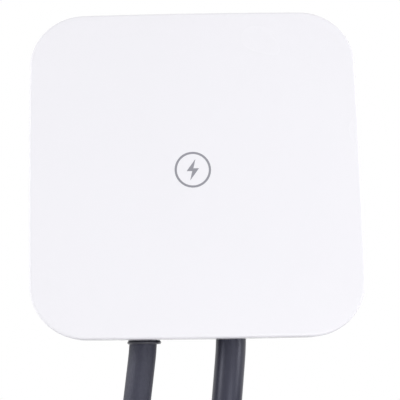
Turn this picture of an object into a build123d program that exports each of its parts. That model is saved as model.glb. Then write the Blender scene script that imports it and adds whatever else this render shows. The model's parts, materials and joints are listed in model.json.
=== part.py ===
from build123d import *
from math import pi, radians, tan
import os

# Frame: wall plane at Y 0, front towards -Y, +X right, +Z up. All sizes in millimetres.
# A distance called depth, or d, is measured from the wall towards the viewer, so Y is -d.

# Front cover
cover_width = 166.0
cover_height = 165.0
cover_corner = 27.5
cover_bow = 0.46
cover_wall = 2.6
cover_edge_round = 2.2
cover_front = 82.0
cover_back = 53.6
crown_radius = 2300.0
cover_rib_height = 5.0
cover_rib_thickness = 1.4

# Rear housing
cover_reach = 2.5
housing_width = cover_width - 2 * cover_reach
housing_height = cover_height - 2 * cover_reach
housing_corner = cover_corner - cover_reach
housing_wall = 4.0
housing_back_inset = 6.0
taper_depth = 20.0
rim_gap = 0.5
floor_back = 8.0
floor_thickness = 3.0
step_depth = 48.2
rim_depth = 58.0
skirt_gap = 1.1
spigot_inset = cover_wall + skirt_gap - cover_reach
post_radius = 4.5
back_rim_wall = 3.5
post_web = 8.2
post_web_thickness = 2.4

post_margin = 14.5
pilot_depth = 12.0
short_pilot_depth = 5.0

# Seal and light ring
seal_width = 1.2
seal_depth = 1.2
ring_depth = 4.8
ring_reach = 1.5
ring_edge_round = 1.0
fit_gap = 0.1
slide_gap = 0.3

# Inner cover
inner_cover_thickness = 2.5
inner_cover_inset = 0.8
tray_width = housing_width - 43
tray_height = housing_height - 76
tray_lift = 3.5
tray_corner = 10.0
tray_centre_z = 8.0
tray_wall = 4.0
tray_draft = 12
cooling_rib_count = 11
cooling_rib_pitch = 9.0
cooling_rib_z = 25.0 - housing_height / 2
cooling_rib_height = 1.5
inner_screw_x = housing_width / 2 - post_margin
inner_screw_z = housing_height / 2 - post_margin

# Pegs and grommets
peg_radius = 3.0
peg_x = cover_width / 2 - 15
peg_z = 22.0
peg_tip_gap = 0.5
grommet_radius = 5.2
grommet_height = 7.5
grommet_lip = 1.2
tower_wall = 1.8
peg_boss_radius = 5.5
peg_boss_gap = 0.6
cover_rib_pitch = 38.0
cover_rib_margin = 12.0

# Wall bracket
bracket_width = housing_width - 37
bracket_height = housing_height - 42
bracket_corner = 8.0
sheet = 2.0
wall_screw_x = bracket_width - 40
wall_screw_z = bracket_height - 26
wall_screw_hole = 2.75
hook_x = bracket_width / 2 - 28
hook_width = 16.0
hook_seat_z = bracket_height / 2 - 29
hook_height = 8.0
hook_throat = 2.4
lip_over = 3.6
tab_width = 16.0
tab_z = 7.0 - bracket_height / 2
tab_reach = 7.6
securing_screw_depth = 4.9
securing_boss_top = tab_z - 1
securing_boss_bottom = 14.0 - housing_height / 2
securing_boss_width = 14.0
securing_socket_radius = 1.9

# Cables and their entries
supply_diameter = 14.6
charge_diameter = 15.8
collar_ring_gap = 0.65
supply_x = -26.6
charge_x = 19.35
bush_grip = 0.1
collar_wall = 1.65
collar_lip = 1.7
supply_collar_drop = 4.3
charge_collar_drop = 1.9
bush_neck_wall = 0.9
inner_flange_wall = 3.4
inner_flange_height = 2.5
clamp_length = 8.0
clamp_side = 9.0
clamp_height = 4.0
clamp_gap = 0.5
clamp_screw_side = 4.6
clamp_screw_length = 15.0
core_radius = 1.8
core_spread_supply = 4.0
core_spread_charge = 3.8

# Main board and what stands on it
board_back = 15.0
board_thickness = 1.6
board_corner = 3.0
board_screw_bite = 4.0
terminal_depth = 15.0
terminal_length = 18.0
terminal_height = 19.0
terminal_pitch = 8.0
terminal_screw_z = 9.0
terminal_hole_depth = 11.0
terminal_well = 3.0
sensor_length = 9.0
sensor_side = 13.5
sensor_bore = 8.5
sensor_back_shift = 2.0
sensor_height = 31.0
relay_width = 22.0
relay_share = 3 / 7
relay_height = 24.0
relay_x = 26.0
power_width = 15.0
power_share = 3 / 5
power_height = 24.0
capacitor_radius = 8.0
capacitor_height = 24.0
fuse_width = 10.0
fuse_over_share = 1 / 7
fuse_gap = 2.0
fuse_height = 11.0
fuse_radius = 3.2

# Control board
control_back = 43.5
control_thickness = 1.6
control_height = 58.0
spacer_radius = 2.8
spacer_side = 4.5
spacer_pilot = 6.0
header_width = 26.0
header_thickness = 5.0
radio_width = 18.0
radio_length = 25.0
processor_side = 14.0
knob_radius = 6.0
knob_notches = 12
knob_shaft = 2.4
knob_back = 57.2
knob_front = 64.4
selector_side = 13.0
selector_height = 8.0
selector_bore = 6.0
running_gap = 0.05

# Coils that hold the length that isn't seen
coil_drop = 40.0
supply_coil_radius = 73.0
supply_turns = 3
supply_coil_start_d = 20.0
charge_coil_radius = 93.4
charge_layers = 3
coil_corner = 5.0
strap_thickness = 1.6
strap_angle = 11.0
strap_corner_extra = 1.0

# Vehicle connector, hanging nose down
plug_depth = 50.0
tail_drop = 76.9
boot_length = 50.0
boot_top_radius = 10.6
boot_bottom_radius = 14.0
boot_groove = 1.2
boot_rings = 6
handle_length = 122.0
handle_bore = 11.0
handle_screw_x = 13.6
handle_screw_seat = 6.0
handle_screw_length = 12.0
plug_flange_radius = 31.0
nose_length = 42.0
nose_radius = 27.5
nose_flat = 19.0
nose_flat_round = 6.0
nose_tip_chamfer = 1.5
nose_recess = 6.0
chamber_radius = 4.4
sleeve_radius = 4.2
sleeve_bore = 3.0
signal_scale = 0.62
sleeve_length = 30.0
end_core_length = 48.0
end_core_radius = 1.9
end_core_ring = 3.2
ferrule_length = 12.0
ferrule_radius = 1.4

# Screws
small_screw = 1.5
small_head = 2.8
small_head_height = 1.6
inner_head = 3.2
well_gap = 0.2
large_screw = 1.75
large_head = 2.9
large_head_height = 2.4
socket_share = 0.55
socket_depth_share = 0.6

# Values that follow
supply_radius = supply_diameter / 2
charge_radius = charge_diameter / 2
floor_front = floor_back + floor_thickness
spigot_width = housing_width - 2 * spigot_inset
spigot_height = housing_height - 2 * spigot_inset
spigot_corner = housing_corner - spigot_inset
cavity_width = housing_width - 2 * housing_wall
cavity_height = housing_height - 2 * housing_wall
cavity_corner = housing_corner - housing_wall
bottom_outside = -housing_height / 2
bottom_inside = -cavity_height / 2
clamp_low_z = bottom_inside + 6
clamp_high_z = clamp_low_z + clamp_length
sheath_end_z = clamp_high_z + 5
board_width = cavity_width - 25
board_low_z = sheath_end_z + 4
board_high_z = cavity_height / 2 - 14
board_screw_x = board_width / 2 - 5
board_screw_low_z = board_low_z + 5
board_screw_high_z = board_high_z - 10
sensor_low_z = board_low_z + 3
sensor_high_z = sensor_low_z + sensor_length
terminal_low_z = sensor_high_z + 15
terminal_high_z = terminal_low_z + terminal_length
upper_zone = board_high_z - terminal_high_z
relay_length = upper_zone * relay_share
relay_z = terminal_high_z + relay_length
fuse_high_z = terminal_high_z + upper_zone * fuse_over_share
power_length = upper_zone * power_share
power_x = 10 - board_width / 2
power_z = fuse_high_z + fuse_gap + power_length / 2
capacitor_x = board_width / 2 - 12
fuse_x = 12 - board_width / 2
fuse_length = fuse_high_z - terminal_low_z
fuse_z = (fuse_high_z + terminal_low_z) / 2
control_width = board_width - 36
control_z = board_high_z - 40
radio_x = 20 - control_width / 2
knob_x = control_width / 2 - 20
knob_z = control_z - 16
coil_top_z = bottom_outside - coil_drop
inner_cover_front = rim_depth + inner_cover_thickness
board_front = board_back + board_thickness
control_front = control_back + control_thickness
collar_supply = supply_radius + collar_wall
collar_charge = charge_radius + collar_wall
cable_depth = step_depth - collar_ring_gap - max(collar_supply, collar_charge)
cradle_top = cable_depth
sensor_centre_d = cable_depth - sensor_back_shift
board_screw_points = [
    (x, z) for x in (-board_screw_x, board_screw_x) for z in (board_screw_low_z, board_screw_high_z)
]
inner_screw_points = [
    (x, z) for x in (-inner_screw_x, inner_screw_x) for z in (-inner_screw_z, inner_screw_z)
]
peg_points = [(x, z) for x in (-peg_x, peg_x) for z in (-peg_z, peg_z)]
spacer_points = [
    (x, control_z + z)
    for x in (spacer_side - control_width / 2, control_width / 2 - spacer_side)
    for z in (spacer_side - control_height / 2, control_height / 2 - spacer_side)
]
clamp_middle_z = (clamp_low_z + clamp_high_z) / 2
supply_clamp_screw = supply_radius + clamp_screw_side
charge_clamp_screw = charge_radius + clamp_screw_side
clamp_screw_points = [
    (centre + side * reach, clamp_middle_z)
    for centre, reach in ((supply_x, supply_clamp_screw), (charge_x, charge_clamp_screw))
    for side in (-1, 1)
]
clamp_front = cradle_top + supply_radius + clamp_height
hollow_width = housing_width - 2 * housing_back_inset - 2 * back_rim_wall
hollow_height = housing_height - 2 * housing_back_inset - 2 * back_rim_wall
groove_inset = (housing_wall - spigot_inset - seal_width) / 2


def wall_plane(depth):
    """A sketch plane parallel to the wall, depth in front of it, with X right and Z up."""
    return Plane(origin=(0, -depth, 0), x_dir=(1, 0, 0), z_dir=(0, -1, 0))


def level_plane(height, x=0.0, depth=0.0):
    """A sketch plane facing up at a height, with X right and Y towards the wall."""
    return Plane(origin=(x, -depth, height), x_dir=(1, 0, 0), z_dir=(0, 0, 1))


def bowed_outline(width, height, corner, bow):
    """A rounded rectangle whose four sides swell outwards by the bow."""
    half_x = width / 2
    half_z = height / 2
    with BuildSketch() as outline:
        with BuildLine():
            ThreePointArc((bow - half_x, half_z - bow), (0, half_z), (half_x - bow, half_z - bow))
            ThreePointArc((half_x - bow, half_z - bow), (half_x, 0), (half_x - bow, bow - half_z))
            ThreePointArc((half_x - bow, bow - half_z), (0, -half_z), (bow - half_x, bow - half_z))
            ThreePointArc((bow - half_x, bow - half_z), (-half_x, 0), (bow - half_x, half_z - bow))
        make_face()
        fillet(outline.vertices(), corner)
    return outline.sketch


def crowned_block(inset, edge_round):
    """The cover's form, shrunk by an inset all round and at the front."""
    front = cover_front - inset
    width = cover_width - 2 * inset
    height = cover_height - 2 * inset
    with BuildPart() as block:
        with BuildSketch(wall_plane(cover_back)):
            add(bowed_outline(width, height, cover_corner - inset, cover_bow))
        extrude(amount=front - cover_back + 1)
        with Locations((0, crown_radius - front, 0)):
            Sphere(crown_radius, mode=Mode.INTERSECT)
        front_edges = block.edges().filter_by_position(Axis.Y, -front - 0.5, -front + 4.5)
        if edge_round:
            fillet(front_edges, edge_round)
    return block.part


def screw_group(points, seat, length, shank, head, head_height, toward_viewer=True):
    """Like screws along Y: heads seat at a depth, shanks run towards the wall, with a hex socket."""
    turn = 1 if toward_viewer else -1
    with BuildPart() as screws:
        for x, z in points:
            with BuildSketch(wall_plane(seat)):
                with Locations((x, z)):
                    Circle(head)
            extrude(amount=turn * head_height)
            with BuildSketch(wall_plane(seat)):
                with Locations((x, z)):
                    Circle(shank)
            extrude(amount=-turn * length)
            with BuildSketch(wall_plane(seat + turn * head_height)):
                with Locations((x, z)):
                    RegularPolygon(radius=head * socket_share, side_count=6)
            extrude(amount=-turn * head_height * socket_depth_share, mode=Mode.SUBTRACT)
    return screws.part


def bend_radii(points):
    """Each corner's arc, as large as its two runs allow."""
    radii = []
    for before, corner, after in zip(points, points[1:], points[2:]):
        run_in = Vector(*corner) - Vector(*before)
        run_out = Vector(*after) - Vector(*corner)
        half_turn = radians(run_in.get_angle(run_out)) / 2
        radii.append(0.45 * min(run_in.length, run_out.length) / tan(half_turn))
    return radii


def cord_tube(points, radius, name=None):
    """A round tube of straight runs joined by tangent arcs. It prints the radii of a named cord."""
    radii = bend_radii(points)
    with BuildPart() as tube:
        with BuildLine():
            path = FilletPolyline(*points, radius=radii)
        with BuildSketch(Plane(origin=path @ 0, z_dir=path % 0)):
            Circle(radius)
        sweep(path=path)
    if name:
        ratio = tube.part.volume / (pi * radius**2 * path.length)
        print(name, "radii", [round(r) for r in radii], "volume ratio", round(ratio, 4))
    return tube.part


def coil_section(centre_x, centre_d, centre_z):
    """A plane through a coil's middle, across its turns, with X outwards and Y along the coil's axis."""
    return Plane(origin=(centre_x, -centre_d, centre_z), x_dir=(1, 0, 0), z_dir=(0, 0, 1))


def coil_axis(centre_x, centre_d, centre_z):
    """The coil's axis, square to the wall."""
    return Axis((centre_x, -centre_d, centre_z), (0, 1, 0))


def coil_outline(mean_radius, thick, deep, corner):
    """The outline of a coil's bundle on its section plane, with its corners cut."""
    with BuildSketch() as outline:
        with Locations((mean_radius, 0)):
            Rectangle(thick, deep)
        chamfer(outline.vertices(), corner)
    return outline.sketch


def strap_group(centre, mean_radius, thick, deep, corner, angles):
    """Tie straps round a coil's bundle, at angles in degrees above the +X side."""
    axis = coil_axis(*centre)
    with BuildPart() as straps:
        for angle in angles:
            section = coil_section(*centre).rotated((0, -(angle - strap_angle / 2), 0))
            with BuildSketch(section):
                outer = (thick + 2 * strap_thickness, deep + 2 * strap_thickness)
                add(coil_outline(mean_radius, *outer, corner + strap_corner_extra))
                add(coil_outline(mean_radius, thick + fit_gap, deep + fit_gap, corner), mode=Mode.SUBTRACT)
            revolve(axis=axis, revolution_arc=-strap_angle)
    return straps.part


def slotted_block(x, z, width, height, back, tall, round_edge):
    """A moulded component body standing on a board, its front edges rounded."""
    with BuildPart() as block:
        with BuildSketch(wall_plane(back)):
            with Locations((x, z)):
                RectangleRounded(width, height, round_edge)
        extrude(amount=tall)
        chamfer(block.faces().sort_by(Axis.Y)[0].edges(), round_edge / 2)
    return block.part


# Wall bracket: folded steel plate with four screw holes, two hooks and the securing tab
with BuildPart() as wall_bracket:
    with BuildSketch(wall_plane(0)):
        RectangleRounded(bracket_width, bracket_height, bracket_corner)
        with GridLocations(wall_screw_x, wall_screw_z, 2, 2):
            Circle(wall_screw_hole, mode=Mode.SUBTRACT)
    extrude(amount=sheet)
    hook_far = sheet + hook_throat + sheet
    for centre in (-hook_x, hook_x):
        with BuildSketch(Plane.YZ.offset(centre - hook_width / 2)):
            with BuildLine():
                Polyline(
                    (-sheet, hook_seat_z - sheet),
                    (-hook_far, hook_seat_z - sheet),
                    (-hook_far, hook_seat_z + hook_height),
                    (-sheet - hook_throat, hook_seat_z + hook_height),
                    (-sheet - hook_throat, hook_seat_z),
                    (-sheet, hook_seat_z),
                    close=True,
                )
            make_face()
        extrude(amount=hook_width)
    with BuildSketch(level_plane(tab_z)):
        with Locations((0, -tab_reach / 2)):
            Rectangle(tab_width, tab_reach)
        with Locations((0, -securing_screw_depth)):
            Circle(large_screw + running_gap, mode=Mode.SUBTRACT)
    extrude(amount=sheet)
wall_bracket.part.label = "wall_bracket"

# Rear housing: tapered tub with a hollow back for the bracket, posts, cradles and cable holes
with BuildPart() as rear_housing:
    with BuildSketch(wall_plane(rim_gap)):
        RectangleRounded(
            housing_width - 2 * housing_back_inset,
            housing_height - 2 * housing_back_inset,
            housing_corner - housing_back_inset,
        )
    with BuildSketch(wall_plane(taper_depth)):
        RectangleRounded(housing_width, housing_height, housing_corner)
    loft()
    with BuildSketch(wall_plane(taper_depth)):
        RectangleRounded(housing_width, housing_height, housing_corner)
    extrude(amount=step_depth - taper_depth)
    with BuildSketch(wall_plane(step_depth)):
        RectangleRounded(spigot_width, spigot_height, spigot_corner)
    extrude(amount=rim_depth - step_depth)
    # The tub's inside
    with BuildSketch(wall_plane(floor_front)):
        RectangleRounded(
            cavity_width - housing_back_inset, cavity_height - housing_back_inset, cavity_corner
        )
    with BuildSketch(wall_plane(taper_depth)):
        RectangleRounded(cavity_width, cavity_height, cavity_corner)
    loft(mode=Mode.SUBTRACT)
    with BuildSketch(wall_plane(taper_depth)):
        RectangleRounded(cavity_width, cavity_height, cavity_corner)
    extrude(amount=rim_depth - taper_depth, mode=Mode.SUBTRACT)
    # The hollow back
    with BuildSketch(wall_plane(0)):
        RectangleRounded(
            hollow_width,
            hollow_height,
            housing_corner - housing_back_inset - back_rim_wall,
        )
    extrude(amount=floor_back, mode=Mode.SUBTRACT)
    # Seal groove in the rim
    with BuildSketch(wall_plane(rim_depth)):
        RectangleRounded(
            spigot_width - 2 * groove_inset, spigot_height - 2 * groove_inset, spigot_corner - groove_inset
        )
        RectangleRounded(
            spigot_width - 2 * groove_inset - 2 * seal_width,
            spigot_height - 2 * groove_inset - 2 * seal_width,
            spigot_corner - groove_inset - seal_width,
            mode=Mode.SUBTRACT,
        )
    extrude(amount=-seal_depth, mode=Mode.SUBTRACT)
    # Board posts and inner cover posts
    with BuildSketch(wall_plane(floor_front)):
        with Locations(*board_screw_points):
            Circle(post_radius)
    extrude(amount=board_back - floor_front)
    with BuildSketch(wall_plane(floor_front)):
        with Locations(*inner_screw_points):
            Circle(post_radius)
    extrude(amount=rim_depth - floor_front)
    # Webs that tie the corner posts to the side walls
    with BuildSketch(wall_plane(floor_front)):
        web_points = [(x + (post_web / 2 if x > 0 else -post_web / 2), z) for x, z in inner_screw_points]
        with Locations(*web_points):
            Rectangle(post_web, post_web_thickness)
    extrude(amount=step_depth - floor_front)
    # Cable cradles
    for centre, reach, grip in (
        (supply_x, supply_radius + clamp_side, supply_radius),
        (charge_x, charge_radius + clamp_side, charge_radius),
    ):
        with BuildSketch(level_plane(clamp_low_z)):
            with Locations((centre, -(floor_front + cradle_top) / 2)):
                Rectangle(2 * reach, cradle_top - floor_front)
            with Locations((centre, -cable_depth)):
                Circle(grip + fit_gap, mode=Mode.SUBTRACT)
        extrude(amount=clamp_high_z - clamp_low_z)
    # Cable holes through the bottom wall
    with BuildSketch(level_plane(bottom_outside - 1)):
        with Locations((supply_x, -cable_depth)):
            Circle(supply_radius + bush_neck_wall)
        with Locations((charge_x, -cable_depth)):
            Circle(charge_radius + bush_neck_wall)
    extrude(amount=housing_wall + 2, mode=Mode.SUBTRACT)
    # Pilot holes for the screws
    with BuildSketch(wall_plane(rim_depth)):
        with Locations(*inner_screw_points):
            Circle(small_screw)
    extrude(amount=-pilot_depth, mode=Mode.SUBTRACT)
    with BuildSketch(wall_plane(board_back)):
        with Locations(*board_screw_points):
            Circle(small_screw)
    extrude(amount=-short_pilot_depth, mode=Mode.SUBTRACT)
    with BuildSketch(wall_plane(cradle_top)):
        with Locations(*clamp_screw_points):
            Circle(small_screw)
    extrude(amount=-pilot_depth, mode=Mode.SUBTRACT)
    # Hanging lips that drop behind the bracket's hooks
    for centre in (-hook_x, hook_x):
        with BuildSketch(Plane.YZ.offset(centre - hook_width / 2 - 2)):
            lip_back = sheet + slide_gap
            lip_front = sheet + hook_throat - slide_gap
            lip_top = hook_seat_z + hook_height + lip_over
            with BuildLine():
                Polyline(
                    (-floor_back, lip_top),
                    (-lip_back, lip_top),
                    (-lip_back, hook_seat_z),
                    (-lip_front, hook_seat_z),
                    (-lip_front, hook_seat_z + hook_height + 1),
                    (-floor_back, hook_seat_z + hook_height + 1),
                    close=True,
                )
            make_face()
        extrude(amount=hook_width + 4)
    # Boss and notch for the securing screw
    with BuildSketch(level_plane(securing_boss_bottom)):
        boss_back = sheet + slide_gap
        with Locations((0, -(boss_back + floor_front) / 2)):
            Rectangle(securing_boss_width, floor_front - boss_back)
        with Locations((0, -securing_screw_depth)):
            Circle(large_screw + fit_gap, mode=Mode.SUBTRACT)
    extrude(amount=securing_boss_top - securing_boss_bottom)
    with BuildSketch(level_plane(bottom_outside)):
        with Locations((0, -floor_back / 2)):
            Rectangle(securing_boss_width, floor_back)
    extrude(amount=housing_back_inset + back_rim_wall + 1, mode=Mode.SUBTRACT)
rear_housing.part.label = "rear_housing"

# Seal: a rubber ring that fills the rim's groove
with BuildPart() as housing_seal:
    with BuildSketch(wall_plane(rim_depth)):
        RectangleRounded(
            spigot_width - 2 * groove_inset - fit_gap,
            spigot_height - 2 * groove_inset - fit_gap,
            spigot_corner - groove_inset - fit_gap / 2,
        )
        RectangleRounded(
            spigot_width - 2 * groove_inset - 2 * seal_width + fit_gap,
            spigot_height - 2 * groove_inset - 2 * seal_width + fit_gap,
            spigot_corner - groove_inset - seal_width + fit_gap / 2,
            mode=Mode.SUBTRACT,
        )
    extrude(amount=-seal_depth)
housing_seal.part.label = "housing_seal"

# Light ring: opal band on the tub's step, just behind the cover's skirt
with BuildPart() as light_ring:
    with BuildSketch(wall_plane(step_depth)):
        RectangleRounded(
            housing_width + 2 * ring_reach, housing_height + 2 * ring_reach, housing_corner + ring_reach
        )
        RectangleRounded(
            spigot_width + 2 * fit_gap,
            spigot_height + 2 * fit_gap,
            spigot_corner + fit_gap,
            mode=Mode.SUBTRACT,
        )
    extrude(amount=ring_depth)
    outer_edges = light_ring.faces().sort_by(Axis.Y)[-1].outer_wire().edges()
    fillet(outer_edges, ring_edge_round)
light_ring.part.label = "light_ring"

# Inner cover: plate with a raised tray, peg towers and the selector's hole
with BuildPart() as inner_cover:
    with BuildSketch(wall_plane(rim_depth)):
        RectangleRounded(
            spigot_width - 2 * inner_cover_inset,
            spigot_height - 2 * inner_cover_inset,
            spigot_corner - inner_cover_inset,
        )
    extrude(amount=inner_cover_thickness)
    with BuildSketch(wall_plane(inner_cover_front)):
        with Locations((0, tray_centre_z)):
            RectangleRounded(tray_width, tray_height, tray_corner)
    extrude(amount=tray_lift, taper=tray_draft)
    with BuildSketch(wall_plane(rim_depth)):
        with Locations((0, tray_centre_z)):
            RectangleRounded(tray_width - 2 * tray_wall, tray_height - 2 * tray_wall, tray_corner - 2)
    extrude(amount=tray_lift + 0.5, mode=Mode.SUBTRACT)
    with BuildSketch(wall_plane(inner_cover_front)):
        with Locations(*peg_points):
            Circle(grommet_radius + tower_wall)
    extrude(amount=grommet_height - inner_cover_thickness)
    with BuildSketch(wall_plane(rim_depth)):
        with Locations(*peg_points):
            Circle(grommet_radius + fit_gap)
        with Locations((knob_x, knob_z)):
            Circle(knob_radius + slide_gap)
        with Locations(*inner_screw_points):
            Circle(small_screw + fit_gap)
    extrude(amount=grommet_height + 2, mode=Mode.SUBTRACT)
    # Cooling ribs along the plate's lower edge
    with BuildSketch(wall_plane(inner_cover_front)):
        with Locations((0, cooling_rib_z)):
            with GridLocations(cooling_rib_pitch, 1, cooling_rib_count, 1):
                SlotOverall(16, 2, rotation=90)
    extrude(amount=cooling_rib_height)
inner_cover.part.label = "inner_cover"

inner_cover_screws = screw_group(
    inner_screw_points,
    inner_cover_front,
    pilot_depth,
    small_screw - running_gap,
    inner_head,
    small_head_height,
)
inner_cover_screws.label = "inner_cover_screws"

# Grommets: lipped rubber rings that grip the pegs
with BuildPart() as cover_grommets:
    with BuildSketch(wall_plane(rim_depth)):
        with Locations(*peg_points):
            Circle(grommet_radius)
            Circle(peg_radius + slide_gap, mode=Mode.SUBTRACT)
    extrude(amount=grommet_height)
    with BuildSketch(wall_plane(rim_depth + grommet_height)):
        with Locations(*peg_points):
            Circle(grommet_radius + grommet_lip)
            Circle(peg_radius + slide_gap, mode=Mode.SUBTRACT)
    extrude(amount=grommet_lip)
cover_grommets.part.label = "cover_grommets"

# Front cover: crowned shell with stiffening ribs and four pegs
with BuildPart() as front_cover:
    add(crowned_block(0, cover_edge_round))
    add(crowned_block(cover_wall, 0), mode=Mode.SUBTRACT)
    inside = cover_front - cover_wall
    with BuildSketch(wall_plane(inside - cover_rib_height)):
        for offset in (-cover_rib_pitch, 0, cover_rib_pitch):
            with Locations((offset, 0)):
                Rectangle(cover_rib_thickness, cover_height - 2 * cover_rib_margin)
            with Locations((0, offset)):
                Rectangle(cover_width - 2 * cover_rib_margin, cover_rib_thickness)
    extrude(amount=cover_rib_height + slide_gap)
    boss_end = rim_depth + grommet_height + grommet_lip + peg_boss_gap
    with BuildSketch(wall_plane(boss_end)):
        with Locations(*peg_points):
            Circle(peg_boss_radius)
    extrude(amount=inside - boss_end)
    peg_end = rim_depth + peg_tip_gap
    with BuildSketch(wall_plane(peg_end)):
        with Locations(*peg_points):
            Circle(peg_radius)
    extrude(amount=inside - peg_end)
    peg_tips = front_cover.edges().filter_by_position(Axis.Y, -peg_end - fit_gap, -peg_end + fit_gap)
    chamfer(peg_tips, 0.8)
front_cover.part.label = "front_cover"

# Securing screw, driven upwards from below
with BuildPart() as securing_screw:
    screw_top = tab_z + sheet + 2
    with BuildSketch(level_plane(securing_boss_bottom, 0, securing_screw_depth)):
        Circle(large_screw)
    extrude(amount=screw_top - securing_boss_bottom)
    with BuildSketch(level_plane(securing_boss_bottom, 0, securing_screw_depth)):
        Circle(large_head)
    extrude(amount=-large_head_height)
    with BuildSketch(level_plane(securing_boss_bottom - large_head_height, 0, securing_screw_depth)):
        RegularPolygon(radius=securing_socket_radius, side_count=6)
    extrude(amount=large_head_height * socket_depth_share, mode=Mode.SUBTRACT)
securing_screw.part.label = "securing_screw"


def cable_bush(centre_x, cable_radius, collar_radius, drop):
    """A snap-in rubber bush: rounded collar outside, neck in the wall, flange inside."""
    grip = cable_radius - bush_grip
    neck = cable_radius + bush_neck_wall - fit_gap / 2
    flange = cable_radius + inner_flange_wall
    collar_low = bottom_outside - drop
    with BuildPart() as bush:
        with BuildSketch(Plane.XZ):
            with BuildLine():
                Polyline(
                    (grip, collar_low),
                    (collar_radius - 0.2, collar_low),
                    (collar_radius, collar_low + collar_lip / 2),
                    (collar_radius - 0.2, collar_low + collar_lip),
                    (collar_radius - 0.5, bottom_outside),
                    (neck, bottom_outside),
                    (neck, bottom_inside),
                    (flange, bottom_inside),
                    (flange, bottom_inside + inner_flange_height),
                    (grip, bottom_inside + inner_flange_height),
                    close=True,
                )
            make_face()
        revolve(axis=Axis.Z)
    return bush.part.moved(Location((centre_x, -cable_depth, 0)))


supply_bush = cable_bush(supply_x, supply_radius, collar_supply, supply_collar_drop)
supply_bush.label = "supply_bush"
charge_bush = cable_bush(charge_x, charge_radius, collar_charge, charge_collar_drop)
charge_bush.label = "charge_bush"


def cable_clamp(centre_x, cable_radius, screw_reach):
    """A saddle over the cable, screwed to its cradle."""
    reach = cable_radius + clamp_side
    with BuildPart() as clamp:
        with BuildSketch(level_plane(clamp_low_z)):
            with Locations((centre_x, -(cradle_top + clamp_gap + clamp_front) / 2)):
                Rectangle(2 * reach, clamp_front - cradle_top - clamp_gap)
            with Locations((centre_x, -cable_depth)):
                Circle(cable_radius + fit_gap, mode=Mode.SUBTRACT)
        extrude(amount=clamp_high_z - clamp_low_z)
        with BuildSketch(wall_plane(clamp_front)):
            for side in (-1, 1):
                with Locations((centre_x + side * screw_reach, clamp_middle_z)):
                    Circle(inner_head + fit_gap)
        extrude(amount=-(clamp_front - cradle_top - clamp_height), mode=Mode.SUBTRACT)
        with BuildSketch(wall_plane(cradle_top)):
            for side in (-1, 1):
                with Locations((centre_x + side * screw_reach, clamp_middle_z)):
                    Circle(small_screw + fit_gap)
        extrude(amount=clamp_front, mode=Mode.SUBTRACT)
    return clamp.part


supply_clamp = cable_clamp(supply_x, supply_radius, supply_clamp_screw)
supply_clamp.label = "supply_clamp"
charge_clamp = cable_clamp(charge_x, charge_radius, charge_clamp_screw)
charge_clamp.label = "charge_clamp"
clamp_screws = screw_group(
    clamp_screw_points,
    cradle_top + clamp_height,
    clamp_screw_length,
    small_screw - running_gap,
    small_head,
    small_head_height,
)
clamp_screws.label = "clamp_screws"

# Main board
with BuildPart() as main_board:
    board_centre_z = (board_low_z + board_high_z) / 2
    with BuildSketch(wall_plane(board_back)):
        with Locations((0, board_centre_z)):
            RectangleRounded(board_width, board_high_z - board_low_z, board_corner)
        with Locations(*board_screw_points):
            Circle(small_screw + fit_gap, mode=Mode.SUBTRACT)
    extrude(amount=board_thickness)
main_board.part.label = "main_board"
board_screws = screw_group(
    board_screw_points,
    board_front,
    board_thickness + board_screw_bite,
    small_screw - running_gap,
    small_head,
    small_head_height,
)
board_screws.label = "board_screws"

# Relays, power module, capacitors and fuse
with BuildPart() as relays:
    for x in (-relay_x / 2, relay_x / 2):
        add(slotted_block(x, relay_z, relay_width, relay_length, board_front, relay_height, 1.5))
relays.part.label = "relays"
with BuildPart() as power_module:
    add(slotted_block(power_x, power_z, power_width, power_length, board_front, power_height, 2.0))
power_module.part.label = "power_module"
with BuildPart() as capacitors:
    for z in (relay_z - 10, relay_z + 9):
        with BuildSketch(wall_plane(board_front)):
            with Locations((capacitor_x, z)):
                Circle(capacitor_radius)
        extrude(amount=capacitor_height)
    fillet(capacitors.faces().sort_by(Axis.Y)[:2].edges(), 1.0)
capacitors.part.label = "capacitors"
with BuildPart() as fuse_holder:
    add(slotted_block(fuse_x, fuse_z, fuse_width, fuse_length, board_front, fuse_height, 1.0))
    with BuildSketch(level_plane(fuse_z - fuse_length / 2, fuse_x, board_front + fuse_height)):
        Circle(fuse_radius)
    extrude(amount=fuse_length)
fuse_holder.part.label = "fuse_holder"


def terminal_block(centre_x, poles):
    """A row of screw terminals: a cage face below for each core and a screw well in front."""
    width = poles * terminal_pitch + 2
    points = [centre_x + (i - (poles - 1) / 2) * terminal_pitch for i in range(poles)]
    with BuildPart() as block:
        with BuildSketch(wall_plane(board_front)):
            with Locations((centre_x, (terminal_low_z + terminal_high_z) / 2)):
                RectangleRounded(width, terminal_high_z - terminal_low_z, 1)
        extrude(amount=terminal_height)
        with BuildSketch(level_plane(terminal_low_z)):
            with Locations(*[(x, -(board_front + terminal_depth - 2)) for x in points]):
                Circle(core_radius + 0.5)
        extrude(amount=terminal_hole_depth, mode=Mode.SUBTRACT)
        with BuildSketch(wall_plane(board_front + terminal_height)):
            with Locations(*[(x, terminal_low_z + terminal_screw_z) for x in points]):
                Circle(small_head + well_gap)
        extrude(amount=-terminal_well, mode=Mode.SUBTRACT)
        with BuildSketch(wall_plane(board_front + terminal_height - terminal_well)):
            with Locations(*[(x, terminal_low_z + terminal_screw_z) for x in points]):
                Circle(small_screw + fit_gap)
        extrude(amount=-terminal_well / 2, mode=Mode.SUBTRACT)
    return block.part, points


supply_terminals, supply_poles = terminal_block(supply_x, 3)
supply_terminals.label = "supply_terminals"
output_terminals, output_poles = terminal_block(charge_x, 4)
output_terminals.label = "output_terminals"
terminal_screws = screw_group(
    [(x, terminal_low_z + terminal_screw_z) for x in supply_poles + output_poles],
    board_front + terminal_height - terminal_well,
    terminal_well / 3,
    small_screw,
    small_head,
    small_head_height,
)
terminal_screws.label = "terminal_screws"

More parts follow.
